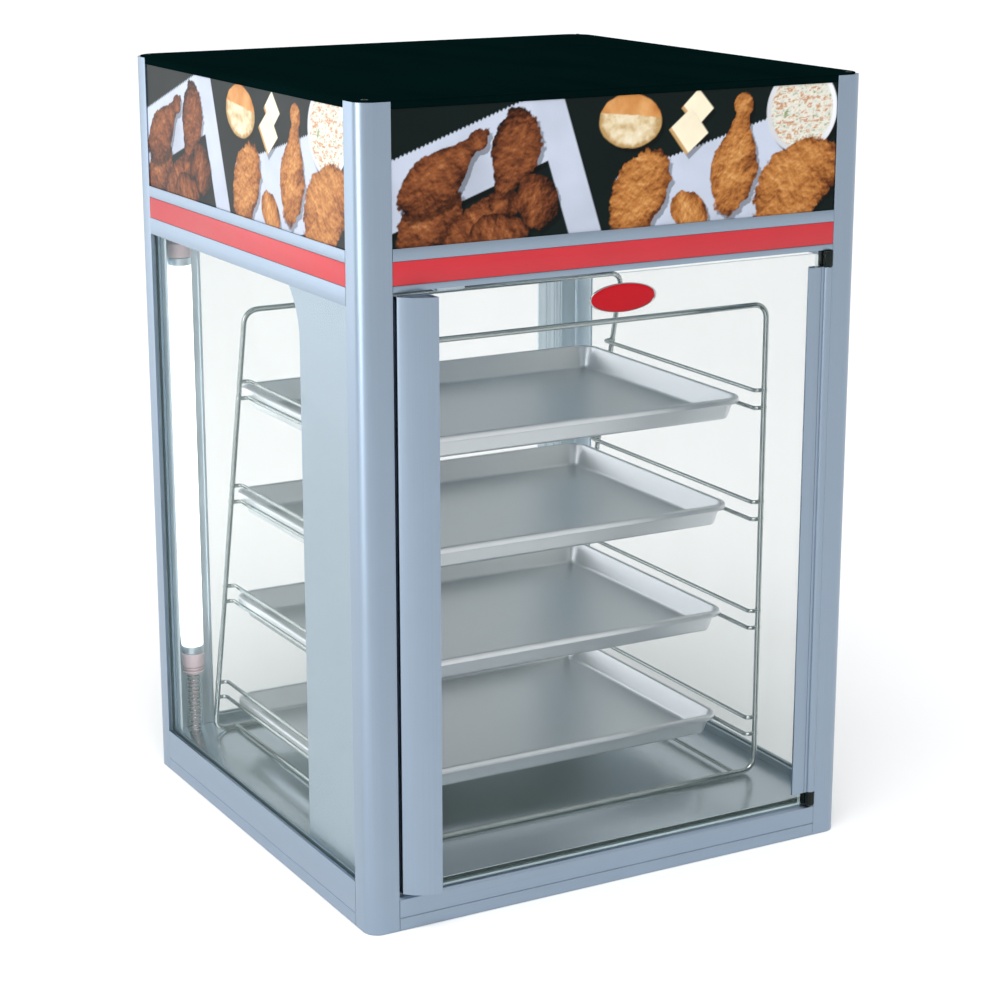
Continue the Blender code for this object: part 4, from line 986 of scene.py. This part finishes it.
def make_pane(node, body, sizes):
    """A pane with ground edges. Its rim has its own finish."""
    low, high = corners(node)
    if node == "door_glass":
        low[X] = low_of("door_handle", X) + HANDLE_SLOT + GAP
    axis = int(np.argmin(high - low))
    part = plate(low, high, axis, 1.2 * MM, sizes.glass_edge, 3)
    pane = piece(f"{node}_pane", [part], finish("clear_glass"), body, [node])
    pane.data.materials.append(finish("glass_edge"))
    normals = np.empty(len(pane.data.polygons) * 3, np.float32)
    pane.data.polygons.foreach_get("normal", normals)
    facing = 0.9
    rim = np.abs(normals.reshape(-1, 3)[:, axis]) < facing
    pane.data.polygons.foreach_set("material_index", rim.astype(np.int32))


# Door


def make_handle(sizes):
    """The door's bar: a hollow section with a shallow convex face and plugged ends, and a lip on the pane."""
    low, high = corners("door_handle")
    pane_low, pane_high = corners("door_glass")
    wall, bulge, shoulder, reach = sizes.handle_wall, 4 * MM, 3 * MM, 20 * MM
    front_of_pane, behind_pane = pane_low[Y] - GAP, pane_high[Y] + GAP

    def outline(inwards, rise):
        """The bar's section drawn in on all sides: a bowed face from a shoulder, and a flat back."""
        left, right, back = low[X] + inwards, high[X] - inwards, front_of_pane - inwards
        face = bow((left, back - rise), (right, low[Y] + inwards), bulge, 32)
        return np.vstack([face, [(right, back), (left, back)]])

    bar = hollow(outline(0, shoulder), outline(wall, 0.1 * shoulder), Z, low[Z], high[Z])
    near, slot = front_of_pane - wall, low[X] + HANDLE_SLOT
    end_of_lip = low[X] + reach
    lip = [
        (low[X], near), (slot, near), (slot, behind_pane), (end_of_lip, behind_pane), (end_of_lip, high[Y]),
        (low[X], high[Y]),
    ]
    sunk = 1.2 * MM
    plug = prism(outline(wall * 0.96, 0.1 * shoulder), Z, low[Z] + sunk, high[Z] - sunk)
    parts = [bar, plug, prism(filleted(lip, sizes.edge, 3), Z, low[Z], high[Z])]
    metal = finish("anodised_z")
    piece("door_handle_bar", parts, metal, "door", ["door_handle"], sharp=25)


def make_stile(sizes):
    """The hinge stile: two lips on the pane with a shadow line, and the round bead on the pivot axis."""
    low, high = corners("hinge_stile")
    pane_low, pane_high = corners("door_glass")
    front = pane_low[Y] - GAP - 2.4 * MM
    bead = sizes.bead_radius
    axis_x, axis_y = high[X] - bead, low[Y] + bead
    root = axis_x - bead * 0.6
    line, line_depth, line_half = low[X] + 15.5 * MM, 0.7 * MM, 0.45 * MM
    slot, back = pane_high[X] + GAP, low[X] + 6 * MM
    outline = [
        (low[X], front), (line - line_half, front), (line - line_half, front + line_depth),
        (line + line_half, front + line_depth), (line + line_half, front), (root, front), (root, high[Y]),
        (back, high[Y]), (back, pane_high[Y] + GAP), (slot, pane_high[Y] + GAP),
        (slot, pane_low[Y] - GAP), (low[X], pane_low[Y] - GAP),
    ]
    flange = prism(filleted(outline, sizes.edge * 0.7, 3), Z, low[Z], high[Z])
    rim = 0.6 * MM
    profile = [
        (0, low[Z]), (bead - rim, low[Z]), (bead, low[Z] + rim), (bead, high[Z] - rim), (bead - rim, high[Z]),
        (0, high[Z]),
    ]
    parts = [flange, turned(profile, (axis_x, axis_y), Z, 48)]
    metal = finish("anodised_z")
    piece("hinge_stile_bar", parts, metal, "door", ["hinge_stile"], sharp=25)


def make_pivots():
    """Black blocks above and below the stile, each with a fluted barrel round its pin."""
    for end in ("bottom", "top"):
        node = f"pivot_block_{end}"
        low, high = corners(node)
        pin_low, pin_high = corners(f"hinge_pin_{end}")
        centre, bore = (pin_low + pin_high)[:2] / 2, (pin_high - pin_low)[X] / 2 + 2 * GAP
        block = plate((low[X], centre[1] + bore, low[Z]), high, Z, 1.0 * MM, 0.6 * MM)
        radius = min(centre[1] - low[Y], high[X] - centre[0])
        outline = [(bore, low[Z]), (radius, low[Z]), (radius, high[Z]), (bore, high[Z])]
        rim, steps = 0.8 * MM, 64
        barrel = turned(filleted(outline, rim, 4), centre, Z, steps, ring=True, flutes=10, depth=0.10)
        nylon = finish("black_nylon")
        piece(f"{node}_moulding", [block, barrel], nylon, "cabinet", [node])
        repaint(f"hinge_pin_{end}", "zinc_plate")


def make_emblem_piece():
    """A plain domed oval with a raised rim: rings that shrink from the edge to the middle.

    Ring k is the oval times 1 - k, and its height off the pane is set by the profile along k.
    """
    low, high = corners("door_emblem")
    middle, half = (low + high) / 2, (high - low) / 2
    rim = [(1.0, 0.0), (1.0, 0.55), (0.99, 0.72), (0.975, 0.78), (0.96, 0.72), (0.95, 0.5), (0.94, 0.5)]
    dome = [(0.925, 0.62), (0.85, 0.74), (0.7, 0.84), (0.5, 0.92), (0.25, 0.98), (0.06, 1.0), (0.02, 1.0)]
    profile = np.array(rim + dome)
    angle = np.linspace(0, 2 * np.pi, 96, endpoint=False)
    rings = np.empty((len(profile), len(angle), 3))
    rings[..., X] = middle[X] + half[X] * profile[:, :1] * np.cos(angle)
    rings[..., Z] = middle[Z] + half[Z] * profile[:, :1] * np.sin(angle)
    rings[..., Y] = high[Y] - (high - low)[Y] * profile[:, 1:]
    red = finish("red_enamel")
    oval = piece("door_emblem_oval", [lofted(rings)], red, "door", ["door_emblem"])
    oval.data.materials.append(finish("chrome_plate"))
    centres = np.empty(len(oval.data.polygons) * 3, np.float32)
    oval.data.polygons.foreach_get("center", centres)
    centres = (centres.reshape(-1, 3) - middle) / half
    rim_start = 0.945
    on_rim = np.hypot(centres[:, X], centres[:, Z]) > rim_start
    oval.data.polygons.foreach_set("material_index", on_rim.astype(np.int32))


# Rack and pans


def make_rack_piece(sizes):
    """The rack in one piece: two hoops, support and guard rails on both sides, floor wires and weld beads."""
    leg, rail = sizes.leg_wire, sizes.rail_wire
    front_low, front_high = corners("rack_front_top_bar")
    rear_low, rear_high = corners("rack_rear_top_bar")
    foot_low, foot_high = corners("rack_foot_frame")
    left, right = front_low[X] + leg, front_high[X] - leg
    front, foot, front_top = (front_low + front_high)[Y] / 2, foot_low[Z] + leg, front_high[Z] - leg
    rear_foot, rear_top, rear_height = foot_high[Y] - leg, rear_low[Y] + leg, rear_high[Z] - leg

    def back(z):
        """Depth of the leaning rear hoop at a height."""
        return rear_foot + (rear_top - rear_foot) * (z - foot) / (rear_height - foot)

    def hoop(top, depth):
        """A closed hoop whose depth is a function of height."""
        loop = [
            (left, depth(foot), foot), (left, depth(top), top), (right, depth(top), top),
            (right, depth(foot), foot),
        ]
        normal = unit(np.cross(np.subtract(loop[1], loop[0]), (1, 0, 0)))
        return wire(filleted(loop, sizes.hoop_bend, 10), leg, normal, 20, closed=True)

    parts = [hoop(front_top, lambda z: front), hoop(rear_height, back)]
    floor_inset, lift, pan_lip = 27 * MM, 1 * MM, 7 * MM
    for x in (left + floor_inset, right - floor_inset):
        run = [(x, front, foot + lift), (x, 0, foot + lift), (x, back(foot), foot + lift)]
        parts.append(wire(run, rail, (0, 0, 1)))
    side_rails = {
        left: corners("rack_side_left")[1][X] - rail, right: corners("rack_side_right")[0][X] + rail,
    }
    for pan in PANS:
        support = corners(pan)[1][Z] - pan_lip - GAP - rail
        for z in (support, support + sizes.guard_rise):
            for leg_x, rail_x in side_rails.items():
                run = [(leg_x, front, z), (rail_x, front, z), (rail_x, back(z), z), (leg_x, back(z), z)]
                parts.append(wire(filleted(run, sizes.rail_bend, 6, closed=False), rail, (0, 0, 1)))
                parts += [weld_bead((leg_x, y, z), leg) for y in (front, back(z))]
    piece("rack", parts, finish("chrome_plate"), "cabinet", RACK_NODES)


def weld_bead(centre, leg):
    """A flattened bead round a leg where a rail is welded to it.

    Its radius is leg * (0.55 + 0.62 * sin a) at a height of leg * 0.95 * cos a below the weld's middle.
    """
    angle = np.linspace(0, np.pi, 9)
    profile = np.stack([leg * (0.55 + 0.62 * np.sin(angle)), centre[2] - leg * 0.95 * np.cos(angle)], 1)
    return turned(profile, centre[:2], Z, 16)


def make_pan(node, sizes):
    """A sheet pan: a rounded rectangle drawn in along the wall's profile, then given its sheet's thickness.

    Ring k of the profile is the outline drawn in by its first number, at its second number's height. The
    rim is rolled: the profile goes over the top and curls in under itself.
    """
    low, high = corners(node)
    sheet, tall = sizes.pan_sheet, high[Z] - low[Z] - sizes.pan_sheet
    lip, rim, slope = 6.2 * MM, 4.6 * MM, 7.5 * MM
    path = [
        (1.6 * MM, tall - lip + 1.4 * MM), (1.4 * MM, tall - lip), (0, tall - lip), (0, tall), (rim, tall),
        (rim + slope, 0), (rim + slope + 30 * MM, 0),
    ]
    radii = [0.6 * MM, 0.6 * MM, 2.4 * MM, 1.6 * MM, 5 * MM]
    profile = filleted(path, radii, 6, closed=False)
    half = (high - low)[:2] / 2 - sheet / 2
    signs, way = corner_turns(10)
    smallest = 3 * MM
    radius = np.maximum(sizes.pan_corner - profile[:, 0], smallest)[:, None, None]
    flat = (low + high)[:2] / 2 + signs * (half - profile[:, :1, None] - radius) + radius * way
    heights = np.broadcast_to((low[Z] + sheet / 2 + profile[:, 1])[:, None], flat.shape[:2])
    points, faces = lofted(np.concatenate([flat, heights[..., None]], -1))
    open_faces = faces[:1] + faces[2:]
    metal = finish("pan_aluminium")
    shell = piece(f"{node}_sheet", [(points, open_faces)], metal, node, [node])
    wall = shell.modifiers.new("sheet", "SOLIDIFY")
    wall.thickness, wall.offset = sheet, 0


# Lamp, channels, cover and controls


def make_lamp(studio):
    """The lamp: a lit tube with metal end caps, between two holders with springs."""
    low, high = corners("lamp_tube")
    centre, radius = (low + high)[:2] / 2, (high - low)[X] / 2
    cap, edge = 9 * MM, 1.2 * MM
    foot, top = low[Z] + cap, high[Z] - cap
    glass = filleted([(0, foot), (radius, foot), (radius, top), (0, top)], edge, 4, closed=False)
    light = bpy.data.materials.get("lit_tube") or make_lamp_light(
        bpy.context.scene.cabinet_colours, studio.lamp_strength
    )
    piece("lamp_tube_glass", [turned(glass, centre, Z, 56)], light, "cabinet", ["lamp_tube"])
    caps = []
    for foot, top in ((low[Z], low[Z] + cap), (high[Z] - cap, high[Z])):
        profile = filleted([(0, foot), (radius, foot), (radius, top), (0, top)], edge * 0.8, 4, closed=False)
        caps.append(turned(profile, centre, Z, 56))
    piece("lamp_end_caps", caps, finish("pale_sheet"), "cabinet")
    for end, turn in (("bottom", -1), ("top", 1)):
        node = f"lamp_holder_{end}"
        low, high = corners(node)
        near, far = (high[Z], low[Z]) if turn < 0 else (low[Z], high[Z])
        wide, stem, collar = (high - low)[X] / 2, 4.5 * MM, 15 * MM
        seat = near + turn * 25 * MM
        neck, shoulder = wide * 0.82, near + turn * (collar + 2 * MM)
        outline = [
            (0, near), (wide, near), (wide, near + turn * collar), (neck, shoulder), (neck, seat),
            (stem, seat), (stem, far), (0, far),
        ]
        parts = [turned(filleted(outline, 0.8 * MM, 4, closed=False), centre, Z, 48)]
        inner, outer, thick = wide * 0.8, wide * 0.97, 1.6 * MM
        for h in (near + turn * 18.5 * MM, near + turn * 22.5 * MM):
            section = [(inner, h), (outer, h), (outer, h + thick), (inner, h + thick)]
            parts.append(turned(filleted(section, 0.5 * MM, 3), centre, Z, 48, ring=True))
        plastic = finish("lamp_holder_plastic")
        piece(f"{node}_moulding", parts, plastic, "cabinet", [node])
        start, end_of_coil = sorted((seat + turn * 1.2 * MM, far - turn * 1.5 * MM))
        turns = int((end_of_coil - start) / (4.6 * MM))
        spring = coil(centre, stem + 2.4 * MM, 0.7 * MM, start, end_of_coil, max(turns, 3))
        piece(f"lamp_spring_{end}", [spring], finish("chrome_plate"), "cabinet")


def make_channels():
    """Angle sheets in both rear corners, with rolled ribs along the rear leg, the first at its edge."""
    for side, turn in (("left", 1), ("right", -1)):
        node = f"corner_channel_{side}"
        low, high = corners(node)
        sheet, rib, rear, deep = 1.0 * MM, 1.5 * MM, (high - low)[X], (high - low)[Y]
        steps, wide = [(rear, 0), (rear, sheet + rib)], 3 * MM
        at = rear - wide
        for gap in (9 * MM, wide, 8 * MM, wide, 5 * MM, wide):
            steps += [(at, sheet + rib), (at, sheet)] if gap > wide else [(at, sheet), (at, sheet + rib)]
            at -= gap
        steps += [(at, sheet + rib), (at, sheet), (sheet, sheet), (sheet, deep), (0, deep), (0, 0)]
        flat = filleted(steps, 0.3 * MM, 2)
        x = low[X] if turn > 0 else high[X]
        section = np.stack([x + turn * flat[:, 0], high[Y] - flat[:, 1]], 1)
        piece(
            f"{node}_sheet", [prism(section, Z, low[Z], high[Z])], finish("pale_sheet"), "cabinet",
            [node],
        )


def make_cover(sizes):
    """The lid with its turned-down lips, and a small domed screw over each pillar."""
    low, high = corners("top_cover")
    pillar_low, pillar_high = corners("pillar_front_left")
    screw = 0.8 * MM
    top, sheet, lip, set_in = high[Z] - screw, 2 * MM, 2 * MM, 0.5 * MM
    foot, edge = (low[X], low[Y], high[Z] - sheet), 0.7 * MM
    lid = plate(foot, (high[X], high[Y], top), Z, sizes.pillar_radius, edge, 8)
    end = pillar_high[X] - pillar_low[X] + GAP
    parts = [lid]
    for axis in (X, Y):
        across = Y if axis == X else X
        for near in (low[across] + set_in, high[across] - set_in - lip):
            start, stop = np.array(low), np.array(high)
            start[axis], stop[axis] = low[axis] + end, high[axis] - end
            start[across], stop[across] = near, near + lip
            start[Z], stop[Z] = low[Z], high[Z] - sheet + 0.5 * MM
            parts.append(plate(start, stop, Z, 0.5 * MM, 0.5 * MM, 3))
    piece("top_cover_lid", parts, finish("black_enamel"), "cabinet", ["top_cover"])
    screws, radius, set_back = [], 3.4 * MM, 12 * MM
    under, hollow_at = top - 0.4 * MM, top + 0.5 * MM
    profile = [
        (0, under), (radius, under), (radius, top + 0.15 * MM), (radius * 0.7, top + 0.65 * MM),
        (radius * 0.45, high[Z]), (radius * 0.38, hollow_at), (0, hollow_at),
    ]
    for x in (low[X] + set_back, high[X] - set_back):
        for y in (low[Y] + set_back, high[Y] - set_back):
            screws.append(turned(profile, (x, y), Z, 28))
    piece("cover_screws", screws, finish("black_nylon"), "cabinet")


def make_knob():
    """A pointer knob: a fluted body on a wider skirt, with a raised pointer on its face."""
    low, high = corners("heat_knob")
    pin_x, pin_z = (low + high)[X] / 2, low[Z] + (high - low)[X] / 2
    face = corners("rear_panel")[1][Y] + 2 * GAP
    radius, tip = (high - low)[X] / 2, high[Y]
    cap = tip - 0.1 * MM
    outline = [
        (0.5 * radius, face), (radius, face), (radius, face + 3 * MM), (radius * 0.86, face + 4 * MM),
        (radius * 0.82, tip - 1 * MM), (radius * 0.74, cap), (0.3 * radius, cap),
    ]
    profile = np.vstack([[(0, face)], filleted(outline, 0.6 * MM, 4, closed=False), [(0, cap)]])
    body = turned(profile, (pin_x, pin_z), Y, 120, flutes=30, depth=0.045)
    thin, inside = 2.6 * MM, face + 1 * MM
    stem = turned([(0, low[Y]), (thin, low[Y]), (thin, inside), (0, inside)], (pin_x, pin_z), Y)
    half = 1.4 * MM
    foot, top = (pin_x - half, face + 2 * MM, pin_z), (pin_x + half, tip, high[Z])
    parts = [body, stem, plate(foot, top, Y, half * 0.9, 0.5 * MM)]
    nylon = finish("black_nylon")
    piece("heat_knob_cap", parts, nylon, "heat_control", ["heat_knob"])
    return pin_x, pin_z, radius


def make_dial(pin_x, pin_z, radius):
    """Raised ticks round the knob, over the three quarters of a turn that its pointer sweeps from the top."""
    face, ticks = corners("rear_panel")[1][Y], []
    near, far, half, thick = radius + 5.2 * MM, radius + 8.2 * MM, 0.5 * MM, 0.3 * MM
    tick = np.array([(near, -half), (far, -half), (far, half), (near, half)])
    for angle in np.radians(np.linspace(90, 360, 10)):
        turn = np.array([(np.cos(angle), np.sin(angle)), (-np.sin(angle), np.cos(angle))])
        ticks.append(prism(tick @ turn + (pin_x, pin_z), Y, face, face + thick))
    piece("dial_marks", ticks, finish("black_nylon"), "cabinet")


def make_rocker(node, body):
    """A rocker with two dished facets, and the bezel that frames it on the panel."""
    low, high = corners(node)
    panel = corners("rear_panel")[1][Y]
    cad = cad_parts[node].data
    points = np.empty(len(cad.vertices) * 3, np.float32)
    cad.vertices.foreach_get("co", points)
    flat = np.unique(np.round(points.reshape(-1, 3)[:, 1:].astype(float), 6), axis=0)
    middle = flat.mean(0)
    order = np.argsort(np.arctan2(*(flat - middle).T[::-1]))
    section = filleted(flat[order], 0.5 * MM, 4)
    nylon = finish("black_nylon")
    piece(f"{node}_cap", [prism(section, X, low[X], high[X])], nylon, body, [node])
    centre = np.array([(low + high)[X] / 2, (low + high)[Z] / 2])
    at_side, at_end = 0.7 * MM, 1.2 * MM
    half = np.array([(high - low)[X] / 2 + at_side, (high - low)[Z] / 2 + at_end])
    wide, thick, corner = 2.4 * MM, 1.6 * MM, 1.5 * MM
    signs = np.array([(1, 1), (-1, 1), (-1, -1), (1, -1)])
    profile = [
        (0, 0), (wide, 0), (wide, thick * 0.6), (wide * 0.75, thick), (wide * 0.2, thick), (0, thick * 0.7),
    ]
    rings = [
        in_space(filleted(centre + signs * (half + out), corner + out, 4), Y, panel + rise)
        for out, rise in profile
    ]
    bezel = lofted(np.stack(rings), closed=True)
    piece(f"{node}_bezel", [bezel], nylon, "cabinet")


def make_gland():
    """The cord's gland: a hexagonal flange, a ribbed collar and a rounded mouth with its hole."""
    low, high = corners("cord_gland")
    centre, radius = np.array([(low + high)[X], (low + high)[Z]]) / 2, (high - low)[X] / 2
    flange = 3.2 * MM
    hexagon = filleted(centre + arc((0, 0), radius, 0, 300, 5), 0.8 * MM, 4)
    nut = prism(hexagon, Y, low[Y], low[Y] + flange)
    collar, hole = 7 * MM, 3.6 * MM
    heights = np.linspace(low[Y] + flange, high[Y] - 1 * MM, 25)
    ribs = collar * (1 - 0.05 * (1 + np.cos((heights - low[Y]) * 2 * np.pi / (1.6 * MM))))
    profile = np.vstack([
        [(hole, low[Y] + 1 * MM), (collar, low[Y] + 1 * MM)], np.stack([ribs, heights], 1),
        [(collar * 0.8, high[Y]), (hole, high[Y])],
    ])
    parts = [nut, turned(profile, centre, Y, 48, ring=True)]
    nylon = finish("black_nylon")
    piece("cord_gland_moulding", parts, nylon, "cabinet", ["cord_gland"])


# Operators


class CABINET_OT_pillars(bpy.types.Operator):
    """Makes the four corner pillars."""

    bl_idname = "cabinet.pillars"
    bl_label = "Corner pillars"

    def execute(self, context):
        sizes = context.scene.cabinet_sizes
        metal = finish("anodised_z")
        for node in PILLARS:
            low, high = corners(node)
            part = prism(pillar_section(node, sizes), Z, low[Z], high[Z])
            piece(f"{node}_extrusion", [part], metal, "cabinet", [node], sharp=25)
        return {"FINISHED"}


class CABINET_OT_base(bpy.types.Operator):
    """Makes the sills, the chamber's floor and the bottom sheet."""

    bl_idname = "cabinet.base"
    bl_label = "Base"

    def execute(self, context):
        make_sides("sill", sill_outline, context.scene.cabinet_sizes)
        sheets = {
            "floor_plate": ("stainless_x", "stainless_floor"), "base_pan": ("zinc_plate", "zinc_sheet"),
        }
        for node, (name, slot) in sheets.items():
            part = plate(*corners(node), Z, 1.5 * MM, 0.35 * MM)
            piece(f"{node}_sheet", [part], finish(name), "cabinet", [node])
        return {"FINISHED"}


class CABINET_OT_header(bpy.types.Operator):
    """Makes the header's rails and strips, and finishes the ceiling sheet."""

    bl_idname = "cabinet.header"
    bl_label = "Header rails"

    def execute(self, context):
        make_sides("header_rail", rail_outline, context.scene.cabinet_sizes)
        for side in ("front", "left", "right"):
            node = f"strip_{side}"
            low, high = corners(node)
            part = plate(low, high, int(np.argmin(high - low)), 0.5 * MM, 0.25 * MM, 3)
            piece(f"{node}_inlay", [part], finish("red_inlay"), "cabinet", [node])
        repaint("ceiling_plate", "stainless_x")
        return {"FINISHED"}


class CABINET_OT_signs(bpy.types.Operator):
    """Makes the three printed sign panels."""

    bl_idname = "cabinet.signs"
    bl_label = "Sign panels"

    def execute(self, context):
        settings = context.scene.cabinet_print
        printed_panel("sign_front", Y, -1, settings)
        printed_panel("sign_left", X, -1, settings)
        printed_panel("sign_right", X, 1, settings)
        return {"FINISHED"}


class CABINET_OT_cover(bpy.types.Operator):
    """Makes the top cover and its screws."""

    bl_idname = "cabinet.cover"
    bl_label = "Top cover"

    def execute(self, context):
        make_cover(context.scene.cabinet_sizes)
        return {"FINISHED"}


class CABINET_OT_glazing(bpy.types.Operator):
    """Makes the three fixed panes."""

    bl_idname = "cabinet.glazing"
    bl_label = "Fixed panes"

    def execute(self, context):
        for node in ("glass_left", "glass_right", "glass_rear"):
            make_pane(node, "cabinet", context.scene.cabinet_sizes)
        return {"FINISHED"}


class CABINET_OT_door(bpy.types.Operator):
    """Makes the door's pane, handle, stile, emblem, pivots and catch."""

    bl_idname = "cabinet.door"
    bl_label = "Door"

    def execute(self, context):
        sizes = context.scene.cabinet_sizes
        make_pane("door_glass", "door", sizes)
        make_handle(sizes)
        make_stile(sizes)
        make_pivots()
        make_emblem_piece()
        low, high = corners("door_catch")
        tall, corner, edge = 4 * MM, 1 * MM, 0.6 * MM
        block = plate((low[X], low[Y], high[Z] - tall), high, Y, corner, edge)
        pale = finish("pale_sheet")
        piece("door_catch_moulding", [block], pale, "cabinet", ["door_catch"])
        return {"FINISHED"}


class CABINET_OT_rack(bpy.types.Operator):
    """Makes the welded wire rack."""

    bl_idname = "cabinet.rack"
    bl_label = "Wire rack"

    def execute(self, context):
        make_rack_piece(context.scene.cabinet_sizes)
        return {"FINISHED"}


class CABINET_OT_pans(bpy.types.Operator):
    """Makes the four sheet pans."""

    bl_idname = "cabinet.pans"
    bl_label = "Sheet pans"

    def execute(self, context):
        for node in PANS:
            make_pan(node, context.scene.cabinet_sizes)
        return {"FINISHED"}


class CABINET_OT_lamp(bpy.types.Operator):
    """Makes the tube lamp, its holders and springs, and the corner channels."""

    bl_idname = "cabinet.lamp"
    bl_label = "Lamp and corner channels"

    def execute(self, context):
        make_lamp(context.scene.cabinet_studio)
        make_channels()
        return {"FINISHED"}


class CABINET_OT_air(bpy.types.Operator):
    """Finishes the air duct, the blower, the heating rod and the ballast."""

    bl_idname = "cabinet.air"
    bl_label = "Air duct and blower"

    def execute(self, context):
        repaint("air_duct", "duct_sheet")
        for node in ("blower_drum", "blower_wheel", "blower_motor", "heater_rod", "lamp_ballast"):
            repaint(node, "zinc_plate")
        return {"FINISHED"}


class CABINET_OT_controls(bpy.types.Operator):
    """Makes the rear controls: knob and dial, rockers with bezels, and the cord's gland."""

    bl_idname = "cabinet.controls"
    bl_label = "Rear controls"

    def execute(self, context):
        repaint("rear_panel", "anodised_x")
        make_dial(*make_knob())
        make_rocker("power_rocker", "power_switch")
        make_rocker("light_rocker", "light_switch")
        make_gland()
        return {"FINISHED"}


def area_light(name, power, place, target, wide, tall, tone):
    """A soft box that faces a point.

    It tilts from straight down by the angle of the way to the point, then turns to the way's heading.
    """
    data = bpy.data.lights.new(name, "AREA")
    data.shape, data.size, data.size_y, data.energy, data.color = "RECTANGLE", wide, tall, power, tone
    light = bpy.data.objects.new(name, data)
    bpy.context.scene.collection.objects.link(light)
    light.location = place
    way = np.array(target) - np.array(place)
    light.rotation_euler = (
        np.arctan2(np.hypot(way[0], way[1]), -way[2]), 0, np.arctan2(way[1], way[0]) - np.pi / 2
    )


def make_world(strength):
    """Light from all round, a little darker behind the cabinet, and white where the camera looks at it."""
    world = bpy.data.worlds.new("studio")
    bpy.context.scene.world = world
    world.use_nodes = True
    tree = world.node_tree
    place = tree.nodes.new("ShaderNodeTexCoord")
    parts = tree.nodes.new("ShaderNodeSeparateXYZ")
    ramp = tree.nodes.new("ShaderNodeValToRGB")
    ramp.color_ramp.elements[0].position, ramp.color_ramp.elements[0].color = 0.30, (1.0, 1.0, 1.0, 1)
    ramp.color_ramp.elements[1].position, ramp.color_ramp.elements[1].color = 0.85, (0.88, 0.92, 0.95, 1)
    half = tree.nodes.new("ShaderNodeMath")
    half.operation, half.inputs[1].default_value, half.inputs[2].default_value = "MULTIPLY_ADD", 0.5, 0.5
    background, ray = tree.nodes["Background"], tree.nodes.new("ShaderNodeLightPath")
    seen = tree.nodes.new("ShaderNodeMapRange")
    seen.inputs["To Min"].default_value, seen.inputs["To Max"].default_value = strength, 1.1
    tree.links.new(ray.outputs["Is Camera Ray"], seen.inputs["Value"])
    tree.links.new(seen.outputs["Result"], background.inputs["Strength"])
    tree.links.new(place.outputs["Generated"], parts.inputs[0])
    tree.links.new(parts.outputs["Y"], half.inputs[0])
    tree.links.new(half.outputs[0], ramp.inputs[0])
    tree.links.new(ramp.outputs[0], background.inputs["Color"])


class CABINET_OT_stage(bpy.types.Operator):
    """Makes the camera, the lights and the pale floor."""

    bl_idname = "cabinet.stage"
    bl_label = "Stage"

    def execute(self, context):
        scene, studio = context.scene, context.scene.cabinet_studio
        data = bpy.data.cameras.new("camera")
        data.lens, data.sensor_width = studio.lens, 36
        camera = bpy.data.objects.new("camera", data)
        scene.collection.objects.link(camera)
        camera.location = studio.camera_place
        camera.rotation_euler = Euler(studio.camera_turn)
        scene.camera = camera
        scene.view_settings.view_transform = "Standard"
        make_world(studio.world_strength)
        sun = bpy.data.lights.new("overhead", "SUN")
        sun.energy, sun.angle = studio.sun_strength, radians(50)
        overhead = bpy.data.objects.new("overhead", sun)
        overhead.rotation_euler = (radians(28), radians(-16), 0)
        scene.collection.objects.link(overhead)
        warm, cool = (1, 0.99, 0.98), (0.96, 0.98, 1)
        area_light("key_box", studio.key_power, (-2.4, -0.35, 0.9), (-0.28, -0.27, 0.5), 0.8, 1.5, warm)
        area_light("side_box", studio.side_power, (-1.8, 2.2, 0.8), (-0.3, 0, 0.4), 1.3, 1.5, cool)
        mesh = bpy.data.meshes.new("studio_floor")
        far, below = 40.0, 0.5 * MM
        square = [(-far, -far, 0), (far, -far, 0), (far, far, 0), (-far, far, 0)]
        mesh.from_pydata(square, [], [(0, 1, 2, 3)])
        mesh.materials.append(make_floor_paint(studio.floor))
        floor = bpy.data.objects.new("studio_floor", mesh)
        scene.collection.objects.link(floor)
        floor.location.z = -below
        return {"FINISHED"}


OPERATORS = (
    CABINET_OT_stage, CABINET_OT_pillars, CABINET_OT_base, CABINET_OT_header, CABINET_OT_signs,
    CABINET_OT_cover, CABINET_OT_glazing, CABINET_OT_door, CABINET_OT_rack, CABINET_OT_pans,
    CABINET_OT_lamp, CABINET_OT_air, CABINET_OT_controls,
)


class CABINET_PT_pieces(bpy.types.Panel):
    """Lists the pieces of the cabinet and the values that shape them."""

    bl_idname = "CABINET_PT_pieces"
    bl_label = "Food holding cabinet"
    bl_space_type = "VIEW_3D"
    bl_region_type = "UI"
    bl_category = "Cabinet"

    def draw(self, context):
        for operator in OPERATORS:
            self.layout.operator(operator.bl_idname)
        for name, group in GROUPS.items():
            for key in group.__annotations__:
                self.layout.prop(getattr(context.scene, name), key)


GROUPS = {
    "cabinet_sizes": CabinetSizes,
    "cabinet_colours": CabinetColours,
    "cabinet_print": CabinetPrint,
    "cabinet_studio": CabinetStudio,
}
CLASSES = (*GROUPS.values(), *OPERATORS, CABINET_PT_pieces)


def register():
    """Adds the classes, and the groups of settings to the scene."""
    for item in CLASSES:
        bpy.utils.register_class(item)
    for name, group in GROUPS.items():
        setattr(bpy.types.Scene, name, PointerProperty(type=group))


def unregister():
    """Takes away what register adds."""
    for name in GROUPS:
        delattr(bpy.types.Scene, name)
    for item in reversed(CLASSES):
        bpy.utils.unregister_class(item)


def main():
    """Makes every piece in order."""
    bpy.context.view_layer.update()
    register()
    for operator in OPERATORS:
        area, name = operator.bl_idname.split(".")
        getattr(getattr(bpy.ops, area), name)()


if __name__ == "__main__":
    main()
